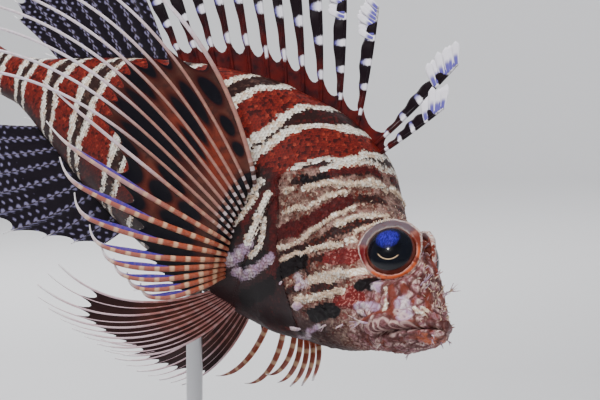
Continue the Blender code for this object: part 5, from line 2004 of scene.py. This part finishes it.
@dataclass
class DorsalSpines:
    """Thirteen stout spines, each with a vane behind it that ends in a fringed flag."""
    lengths: tuple = (0.130, 0.185, 0.200, 0.215, 0.275, 0.320, 0.350,
                      0.360, 0.350, 0.325, 0.285, 0.235, 0.215)
    leans: tuple = (-38, -27, 14, 20, 24, 26, 28, 30, 32, 34, 37, 40, 43)
    # Stations of the feet: two in front, and the rest from one station over a span.
    front_feet: tuple[float, float] = (0.268, 0.283)
    rest_from: float = 0.322
    rest_span: float = 0.306
    web_share: float = 0.20
    patches: int = 5
    flag_sizes: tuple = (6.8 * MM, 6.8 * MM) + (5.4 * MM,) * 11
    lobes: int = 9
    seed: int = 31

    def patch(self, t: Array, shift: float) -> Array:
        """Pale patches along a spine: a wave in share of length, widest near the root."""
        wave = np.cos((t * self.patches + shift) * 2 * pi)
        return np.clip(0.5 + 0.8 * (wave - 0.60), 0, 1) * ease((0.80 - t) / 0.04)

    def build(self, finish: Material) -> None:
        """Builds shafts, vanes, flags and the low web between the spines.

        Args:
            finish: the material of all of them.
        """
        count = len(self.lengths)
        rest = self.rest_from + self.rest_span * np.linspace(0, 1, count - 2) ** 0.92
        feet = np.concatenate([self.front_feet, rest])
        lengths = np.array(self.lengths) * FISH.length
        fractions = stations(np.full(count, self.web_share), 12, 52)
        paths = midline(feet, lengths, np.radians(self.leans), radians(7), fractions, False)
        fan = Fan(paths, fractions, 12, FISH.direction(FISH.turn_to, 0, 1, 0), lengths)
        to_next = np.linalg.norm(np.diff(paths, axis=0), axis=-1)
        room = np.concatenate([to_next, to_next[-1:] + 4 * MM]) * 0.60
        shafts, vanes, web = Piece(), Piece(), Piece()
        random = np.random.default_rng(self.seed)
        for i, t in enumerate(fractions):
            pale, red = self.patch(t, random.uniform(0, 0.3)), ease((0.42 - t) / 0.3)
            to_rear = unit(np.cross(fan.normal[i], fan.along[i]))
            to_rear *= np.sign(dot(to_rear, FISH.direction(float(feet[i]), 1, 0, 0)))
            spine = Spine(t, paths[i], fan.along[i], fan.normal[i], to_rear, room[i])
            size = (0.50 - 0.26 * t) * MM
            look = stack(pale * 0.9 + 0.5 * ease((t - 0.8) / 0.1), 0.1, red, t)
            tube(shafts, spine.path, size, size * 1.15, to_rear, vane=look)
            self.vane(vanes, spine, pale, red)
            self.flag(vanes, spine, self.flag_sizes[i], random)
        fan.web(web, 6, 16, 0.12 * MM, 0.45, lambda q, t: (0, 0, 1, t), "vane")
        shafts.finish("dorsal_spine_shafts", finish, "spines", ("dorsal_fin_spines",))
        vanes.finish("dorsal_spine_vanes", finish, "spines")
        web.finish("dorsal_spine_web", finish, "spines")

    def vane(self, piece: Piece, spine: Spine, pale: Array, red: Array) -> None:
        """Adds the membrane behind one shaft: its width is a low bell along the spine.

        Args:
            piece: where it goes.
            spine: the spine.
            pale, red: how pale and how red it is along its length.
        """
        t, w = spine.t[:, None], np.linspace(0, 1, 6)
        width = (0.7 + 2.1 * bell(t, 0.62, 0.30)) * MM * ease((0.93 - t) / 0.1) + 0.15 * MM
        width = np.minimum(width, spine.room[:, None]) * (0.25 + 0.75 * ease((t - 0.05) / 0.15))
        middle = (spine.path[:, None] + scaled(spine.to_rear[:, None], width * w)
                  + scaled(spine.normal[:, None], 0.25 * MM * np.sin(t * 40) * w))
        look = stack(pale[:, None] * (1.05 - 0.50 * w), w, red[:, None], t)
        sheet(piece, middle, spine.normal[:, None], 0.09 * MM, vane=look)

    def flag(self, piece: Piece, spine: Spine, size: float, random: Random) -> None:
        """Adds the flag near the tip: a row of overlapping lobes that lean towards the tip.

        Args:
            piece: where it goes.
            spine: the spine.
            size: length of the longest lobe.
            random: the generator for the lobes' lengths.
        """
        t, path = spine.t, spine.path
        u, v = np.linspace(0, 1, 9)[:, None], np.linspace(-1, 1, 5)[None, :]
        for n, at in enumerate(np.linspace(0.74, 0.985, self.lobes)):
            k = np.interp(at, t, np.arange(len(t)))
            j = int(k)
            along = spine.along[j]
            base = path[j] + (path[min(j + 1, len(t) - 1)] - path[j]) * (k - j)
            heading = unit(spine.to_rear[j] + along * (0.25 + 0.5 * n / self.lobes))
            long = size * sin(0.25 * pi + 0.62 * pi * n / self.lobes) ** 0.6
            long = min(long, spine.room[j] * 1.25) * random.uniform(0.85, 1.1)
            half = (0.09 + 0.08 * ease(u)) * size * (1 - 0.92 * ease((u - 0.78) / 0.22) ** 2)
            spread = unit(along - heading * (along @ heading))
            curl = spine.normal[j] * (0.7 * MM * np.sin(n * 2.4 + 1.0)) + along * 0.8 * MM
            middle = base + scaled(heading, long * u) + scaled(spread, half * v) + scaled(curl, u ** 2)
            look = stack(1, ease((0.75 - u) / 0.5) * (1 - v ** 4), 0, at)
            sheet(piece, middle, unit(np.cross(heading, spread)), 0.10 * MM, vane=look)


@dataclass(frozen=True)
class Flap:
    """A skin flap: its root on the head, its size in mm and the way it points."""
    s: float
    angle: float
    length: float
    half_width: float
    back: float
    up: float
    out: float = 0.6
    fingers: int = 0
    stem: float = 0.45


FACE_FLAPS = tuple(Flap(*row) for row in (
    (0.046, 30, 3.6, 0.35, -1.0, 0.75, 0.5, 5), (0.040, 24, 1.9, 0.30, -0.9, 0.9, 0.6, 3),
    (0.074, 113.3, 4.2, 0.56, 1.0, -0.15, 0.7, 5), (0.084, 107.2, 2.9, 0.72, 1.0, 0.25, 0.6, 0, 0.35),
    (0.190, 120.6, 3.2, 1.15, 1.0, -0.2, 0.5, 0, 0.5), (0.196, 145.2, 3.0, 1.05, 1.0, 0.0, 0.8, 0, 0.5),
    (0.210, 102.2, 3.2, 0.85, -0.1, -1.0, 0.35, 0, 0.9), (0.248, 111.6, 1.5, 0.40, 0.4, -0.8, 0.5),
    (0.138, 13, 1.7, 0.24, -0.5, 1.0, 0.9, 3), (0.122, 16, 1.3, 0.20, -0.6, 1.0, 0.9, 2),
    (0.108, 10, 1.9, 0.26, -0.8, 1.0, 0.8, 4), (0.092, 14, 1.3, 0.22, -0.8, 1.0, 0.8, 2),
    (0.080, 20, 1.6, 0.24, -0.9, 0.9, 0.8, 3), (0.064, 12, 1.2, 0.20, -1.0, 0.8, 0.8, 2),
    (-0.004, 126.3, 1.6, 0.24, -1.0, 0.1, 0.4, 3), (-0.002, 158, 1.5, 0.22, -1.0, -0.3, 0.5, 2),
    (0.010, 169.3, 1.3, 0.22, -0.7, -0.8, 0.6, 2), (0.015, 70, 1.3, 0.26, -0.9, 0.1, 0.8, 2),
    (0.120, 127.5, 2.2, 0.55, 0.6, -0.7, 0.5, 3), (0.150, 133, 2.0, 0.50, 0.7, -0.6, 0.5, 2),
    (0.095, 78, 1.3, 0.55, 0.6, -0.6, 0.6), (0.060, 150, 1.6, 0.35, 0.2, -1.0, 0.6, 3),
))


@dataclass
class FaceTrim:
    """Skin flaps, branching tentacles and rows of papillae, the same on both sides."""
    flaps: tuple[Flap, ...] = FACE_FLAPS
    papilla_step: float = 0.50 * MM
    scattered: int = 420
    sunk: float = 0.15 * MM
    leaf_half: float = 0.13 * MM
    seed: int = 41

    def build(self, finish: Material) -> None:
        """Builds the flaps as one mesh and the papillae as another.

        Args:
            finish: the material of both.
        """
        random = np.random.default_rng(self.seed)
        flaps, papillae = Piece(), Piece()
        for flap in self.flaps:
            for side in (1, -1):
                self.flap(flaps, flap, side, random)
        flaps.finish("face_flaps", finish, "head_skin")
        for stroke in FACE_STROKES:
            if stroke.kind is Mark.PALE and stroke.half_width < 1.0 and stroke.knots[0][0] > 0.1:
                for side in (1, -1):
                    self.papillae(papillae, stroke, side, random)
        for side in (1, -1):
            self.scatter(papillae, side, random)
        papillae.finish("face_papillae", finish, "head_skin")

    def look(self, tone: float, at: tuple[int, ...], pale: float = 0.42, lilac: float = 0.72) -> dict:
        """Attribute values of a pale flap: all four layers of the scaly hide.

        Args:
            tone: shade, as of a scale.
            at: shape of the arrays.
            pale, lilac: how pale and how lilac it is.
        Returns:
            The layers by name.
        """
        # The scale layer's second value, the painted rim shade, is kept light on flaps and papillae.
        values = {"marks": (pale, 0, 0, 0), "zones": (1, 0.06, 0, 0), "face": (0, 0, lilac, 0),
                  "scale": (tone, 0.15, 0, 1)}
        return {name: np.tile(np.array(four, float), (*at, 1)) for name, four in values.items()}

    def flap(self, piece: Piece, flap: Flap, side: int, random: Random) -> None:
        """Adds one flap: a stem that widens to a thin curved leaf, or splits into fingers.

        Args:
            piece: where it goes.
            flap: the flap.
            side: 1 for the right, -1 for the left.
            random: the generator for its twist, tone and fingers.
        """
        s, phi = np.array(flap.s), np.array(side * radians(flap.angle))
        out = FISH.direction(flap.s, 0, side * np.sin(abs(phi)), np.cos(phi))
        root = FISH.skin(s, phi, HIDE.sample(s[None], phi[None]).swell[0]) - out * 0.45 * MM
        way = unit(FISH.direction(flap.s, flap.back, 0, flap.up) + flap.out * out)
        spread = unit(np.cross(way, out) + 0.25 * random.normal(size=3))
        lift = unit(np.cross(spread, way))
        lift = lift * (1 if lift @ out > 0 else -1)
        long, wide = flap.length * MM, flap.half_width * MM
        reach = long * (0.62 if flap.fingers else 1.0)
        u, v = np.linspace(0, 1, 15)[:, None], np.linspace(-1, 1, 7)[None, :]
        leaf = 0.68 * ease((u - flap.stem * 0.4) / 0.35) * (1 - 0.96 * ease((u - 0.72) / 0.28) ** 2)
        half = wide * (0.32 + (0.25 * ease(u) if flap.fingers else leaf))
        half = half * (1 + 0.10 * np.sin(u * 31) * (np.abs(v) > 0.9))
        bow = -0.45 * wide * v ** 2 * ease(u / 0.6) + reach * 0.16 * np.sin(u * 2.6)
        middle = root + scaled(way, reach * u) + scaled(spread, half * v) + scaled(lift, bow)
        look = self.look(random.uniform(0.4, 0.8), middle.shape[:2])
        look["marks"][..., 1] = 0.9 * ease((0.30 - u) / 0.2)
        look["marks"][..., 0] *= ease((u - 0.1) / 0.3)
        sheet(piece, middle, lift, self.leaf_half, **look)
        t = np.linspace(0, 1, 8)
        for n in range(flap.fingers):
            turn = (n - (flap.fingers - 1) / 2) * 0.62
            heading = unit(way + spread * turn + 0.22 * random.normal(size=3))
            run = long * random.uniform(0.36, 0.58)
            path = middle[-2, 3] + scaled(heading, run * t) + scaled(way * 0.25 + lift * 0.15, run * t ** 2)
            size = wide * (0.36 - 0.16 * t) * (1 + 0.25 * np.sin(5 * t))
            tube(piece, path, size, size * 0.7, spread, 6, **self.look(random.uniform(0.6, 1.0), t.shape))

    def papilla(self, piece: Piece, root: Array, out: Array, lean: Array, size: float, tall: float,
                across: Array, u: Array, taper: float, look: dict[str, Array]) -> None:
        """Adds one small blunt cone.

        Args:
            piece: where it goes.
            root, out, lean: its foot on the skin, the way out of the skin, and its own way.
            size, tall: radius and height.
            across: a vector across it.
            u: shares of its height at which it has rings.
            taper: share by which it thins to the tip.
            look: its attribute values.
        """
        path = root - out * self.sunk + scaled(lean, (tall + self.sunk) * u)
        radius = size * (1 - taper * u ** 2)
        tube(piece, path, radius, radius, across, 5, **look)

    def scatter(self, piece: Piece, side: int, random: Random) -> None:
        """Adds single papillae here and there over snout, brow and cheek, taller on the snout.

        Args:
            piece: where they go.
            side: 1 for the right, -1 for the left.
            random: the generator for places and sizes.
        """
        s = random.uniform(-0.004, 0.20, self.scattered)
        fold = np.radians(random.uniform(2, 130, self.scattered))
        height = FISH.section(s, fold)[1]
        clear = (fold < 0.5) | (s < 0.008)
        clear &= FISH.from_eye(s, height) > np.where(fold < 0.9, 1.3, 1.5)
        clear &= np.abs(FISH.mouth_distance(s, height)) > 0.006
        s, phi = s[clear], side * fold[clear]
        roots = FISH.skin(s, phi, HIDE.sample(s, phi).swell)
        ways = unit(roots - FISH.place(s, 0.0 * s, FISH.profile(s)[3]))
        for at, root, out in zip(s, roots, ways):
            size = random.uniform(0.10, 0.19) * MM
            tall = random.uniform(0.25, 0.60) * MM * (2.1 if at < 0.10 else 1.2)
            lean = unit(out + 0.45 * random.normal(size=3))
            look = self.look(random.uniform(0.2, 1.0), (4,), 0.9 if random.random() < 0.6 else 0.1, 0.0)
            self.papilla(piece, root, out, lean, size, tall, np.cross(out, [0.3, 0.5, 0.8]),
                         np.array([0.0, 0.4, 0.75, 1.0]), 0.75, look)

    def papillae(self, piece: Piece, stroke: Stroke, side: int, random: Random) -> None:
        """Adds papillae along a pale line, in two ragged rows that lean back.

        Args:
            piece: where they go.
            stroke: the pale line.
            side: 1 for the right, -1 for the left.
            random: the generator for places and sizes.
        """
        s, fold = stroke.curve(400)
        line = FISH.skin(s, side * fold, HIDE.sample(s, side * fold).swell)
        run = np.concatenate([[0], np.cumsum(np.linalg.norm(np.diff(line, axis=0), axis=-1))])
        at = np.arange(0.2, run[-1] / self.papilla_step) * self.papilla_step
        along = unit(np.gradient(line, axis=0))
        for row in (-1, 1):
            for where in at + random.normal(0, 0.1 * MM, len(at)):
                k = int(np.clip(np.searchsorted(run, where), 0, len(run) - 1))
                out = unit(line[k] - FISH.place(s[k], 0.0, float(FISH.profile(s[k])[3])))
                across = np.cross(out, along[k])
                shift = row * stroke.half_width * MM * random.uniform(0.25, 0.75)
                size, tall = random.uniform(0.13, 0.22) * MM, random.uniform(0.30, 0.62) * MM
                lean = unit(out + 0.5 * FISH.direction(float(s[k]), 1, 0, 0) + 0.3 * random.normal(size=3))
                look = self.look(random.uniform(0.2, 1.0), (4,), 0.9)
                self.papilla(piece, line[k] + across * shift, out, lean, size, tall, across,
                             np.array([0.0, 0.45, 0.8, 1.0]), 0.7, look)


def turned(outline: Array, sides: int) -> Array:
    """An outline of radius and height turned about the Z axis: points x sides x 3."""
    turn = np.linspace(0, FULL_TURN, sides, endpoint=False)
    return stack(outline[:, :1] * np.cos(turn), outline[:, :1] * np.sin(turn), outline[:, 1:])


@dataclass
class Stand:
    """A turned base with a rounded rim, and a collared rod up to the belly."""
    base_radius: float = 0.062
    base_thickness: float = 0.009
    round_edge: float = 1.1 * MM
    small_edge: float = 0.4 * MM
    gap: float = 0.3 * MM
    rod_radius: float = 2.0 * MM
    rod_sunk: float = 0.6 * MM
    collar_radius: float = 6.5 * MM
    collar_height: float = 6.0 * MM
    collar_edge: float = 1.0 * MM

    def rounded(self, radius: float, top: float, edge: float) -> Array:
        """Points of an outline's rounded upper edge."""
        arc = np.linspace(0, pi / 2, 7)
        return stack(radius - edge * (1 - np.cos(arc)), top - edge * (1 - np.sin(arc)))

    def turn(self, outline: list[Array], sides: int, name: str, finish: Material, slot: str) -> None:
        """Builds a solid of revolution from the parts of its outline.

        Args:
            outline: parts of the outline, as radius and height.
            sides: faces round it.
            name: the piece's name.
            finish: its material.
            slot: its slot, which is its node's name too.
        """
        rings = turned(np.concatenate(outline), sides)
        piece = Piece()
        piece.add(rings, [grid_quads(len(rings), sides, True)])
        made = piece.finish(name, finish, slot, (slot,))
        weld(made)
        made.data.set_sharp_from_angle(angle=radians(40))

    def build(self, base_finish: Material, rod_finish: Material) -> None:
        """Builds the base and the rod.

        Args:
            base_finish, rod_finish: their materials.
        """
        radius, thickness, collar = self.base_radius, self.base_thickness, self.collar_radius
        base = [[[0, 0], [radius - self.small_edge, 0], [radius, self.small_edge]],
                self.rounded(radius, thickness, self.round_edge), [[0, thickness]]]
        self.turn(base, 128, "stand_base_disc", base_finish, "stand_base")
        foot = thickness + self.gap
        shoulder = foot + self.collar_height
        belly = FISH.place(FISH.rod_station, 0.0, FISH.profile(FISH.rod_station)[1])
        top = float(belly[2]) + self.rod_sunk
        rod = [[[0, foot], [collar, foot]], self.rounded(collar, shoulder, self.collar_edge),
               [[self.rod_radius, shoulder], [self.rod_radius, top], [0, top]]]
        self.turn(rod, 48, "stand_rod_turned", rod_finish, "stand_rod")


@dataclass
class Studio:
    """Pale floor that curves up behind, soft area lights and the camera."""
    azimuth: float = radians(13.6)
    elevation: float = radians(5.0)
    field_of_view: float = radians(24.0)
    camera_from_spine: tuple[float, float, float] = (0.011858, 0.003506, 0.342858)
    floor_reach: float = 1.6
    floor_bend: float = 0.5
    wall_height: float = 3.0
    air: Colour = (0.9, 0.92, 1.0, 1)
    air_strength: float = 0.30

    def build(self) -> None:
        """Builds the floor, lights, world and camera."""
        self.camera()
        self.floor()
        self.lights()

    def camera(self) -> None:
        """The camera, turned by azimuth and elevation and placed from the fish's spine."""
        data = bpy.data.cameras.new("camera")
        data.sensor_fit = "HORIZONTAL"
        data.angle = self.field_of_view
        data.clip_start = 0.01
        ca, sa, ce, se = cos(self.azimuth), sin(self.azimuth), cos(self.elevation), sin(self.elevation)
        right, back = np.array([ca, sa, 0]), np.array([sa * ce, -ca * ce, se])
        turn = np.stack([right, np.cross(back, right), back], 1)
        pose = np.eye(4)
        pose[:3, :3], pose[:3, 3] = turn, FISH.origin + turn @ np.array(self.camera_from_spine)
        camera = in_scene("camera", data)
        camera.matrix_world = Matrix(pose.tolist())
        bpy.context.scene.camera = camera

    def floor(self) -> None:
        """A round pale floor whose far rim sweeps up into a wall, all in one turned sheet."""
        reach, bend = self.floor_reach, self.floor_bend
        arc = np.linspace(0, pi / 2, 16)
        rings = turned(np.concatenate([stack(np.linspace(0.0, reach, 8), 0),
                                       stack(reach + bend * np.sin(arc), bend * (1 - np.cos(arc)))[1:],
                                       [[reach + bend, self.wall_height]]]), 96)
        mesh = bpy.data.meshes.new("studio_floor")
        mesh.from_pydata(rings.reshape(-1, 3).tolist(), [], grid_quads(len(rings), 96, True).tolist())
        mesh.polygons.foreach_set("use_smooth", np.full(len(mesh.polygons), True))
        g = Sketch("studio_paper")
        g.shade(Base_Color=srgb(214, 214, 216), Roughness=0.9)
        mesh.materials.append(g.material)
        in_scene("studio_floor", mesh)

    def lights(self) -> None:
        """Soft boxes: a key above and in front, a fill, a glint, a rim light, and one for the wall."""
        middle = (0, 0, 0.1)
        for name, energy, size, at, to in (("key", 7.8, 0.34, (-0.15, -0.35, 0.75), middle),
                                           ("fill", 1.7, 0.7, (0.7, -0.5, 0.35), middle),
                                           ("glint", 0.5, 0.05, (-0.10, -0.45, 0.50), middle),
                                           ("rim", 5.0, 0.4, (-0.45, 0.55, 0.55), middle),
                                           ("wall", 26.0, 1.4, (0.0, 0.7, 1.3), (-0.1, 2.1, 0.9))):
            data = bpy.data.lights.new(name, "AREA")
            data.energy, data.size, data.shape = energy, size, "DISK"
            lamp = in_scene(name, data)
            lamp.location = at
            lamp.visible_glossy = name not in ("key", "fill")
            lamp.rotation_euler = (Vector(to) - Vector(at)).to_track_quat("-Z", "Y").to_euler()
        world = bpy.data.worlds.new("studio_air")
        bpy.context.scene.world = world
        world.use_nodes = True
        background = world.node_tree.nodes["Background"]
        background.inputs[0].default_value = self.air
        background.inputs[1].default_value = self.air_strength


def main() -> None:
    """Builds the fish, its stand and the studio, in order."""
    logging.basicConfig(level=logging.INFO, format="%(message)s")
    skin = HideFinish().build("hide", False)
    plates = HideFinish().build("scaly_hide", True)
    Skin().build(skin)
    Scales().build(plates)
    FaceTrim().build(plates)
    eye, rim = EyeFinish().build("wet_eye"), RimFinish().build("eye_rim")
    lavender = srgb(200, 190, 200)
    wing_web = FinFinish(srgb(72, 46, 38), srgb(142, 48, 26), srgb(58, 20, 16), srgb(10, 8, 16), lavender,
                         srgb(150, 140, 150)).build("wing_membrane")
    wing_ray = RayFinish(srgb(160, 116, 106), srgb(218, 180, 144), srgb(230, 224, 236),
                         srgb(56, 44, 146)).build("wing_rays")
    belly_web = FinFinish(srgb(58, 34, 30), srgb(96, 50, 36), srgb(40, 22, 22), srgb(26, 16, 20), lavender,
                          srgb(60, 40, 40)).build("belly_membrane")
    belly_ray = RayFinish(srgb(168, 118, 116), srgb(216, 190, 190), srgb(228, 208, 220), srgb(120, 100, 150),
                          root_length=1 * MM, free_from=0.45).build("belly_rays")
    soft_web = FinFinish(srgb(24, 19, 26), srgb(50, 36, 50), srgb(20, 15, 22), srgb(14, 10, 18),
                         srgb(112, 107, 138), srgb(40, 32, 42)).build("soft_membrane")
    soft_ray = RayFinish(srgb(30, 20, 26), srgb(128, 122, 146), srgb(60, 48, 66), srgb(84, 76, 150),
                         rust=srgb(38, 26, 32), period=2.5 * MM, root_length=0.5 * MM,
                         free_from=2.0).build("soft_rays")
    for wing, start, end in ((RIGHT_WING, (226, 198), (172, 132)), (LEFT_WING, (244, 216), (196, 156))):
        Eye(wing.side, wing.name).build(eye, rim)
        PectoralFin(wing).build(wing_web, wing_ray)
        PelvicFin(wing.side, wing.name, start, end).build(belly_web, belly_ray)
    DorsalSpines().build(VaneFinish().build("spine_vanes"))
    soft_dorsal = (0.190, 0.225, 0.249, 0.263, 0.267, 0.263, 0.251, 0.234, 0.211, 0.183, 0.140)
    anal = (0.060, 0.097, 0.132, 0.188, 0.213, 0.239, 0.237, 0.214, 0.192, 0.170)
    tail = (0.27, 0.27) + (0.29,) * 9 + (0.27, 0.27)
    for fin in (SpottedFin("soft_dorsal", "dorsal_fin_soft", soft_dorsal, (0.650, 0.840), (44, 68)),
                SpottedFin("anal", "anal_fin", anal, (0.600, 0.825), (26, 68), below=True),
                TailFin("tail", "caudal_fin", tail)):
        fin.build(soft_web, soft_ray)
    Stand().build(PlainFinish(srgb(26, 26, 28), 0.22).build("black_acrylic"),
                  PlainFinish(srgb(190, 190, 192), 0.22, 1.0, (1, 1, 12)).build("brushed_steel"))
    Studio().build()


if __name__ == "__main__":
    main()
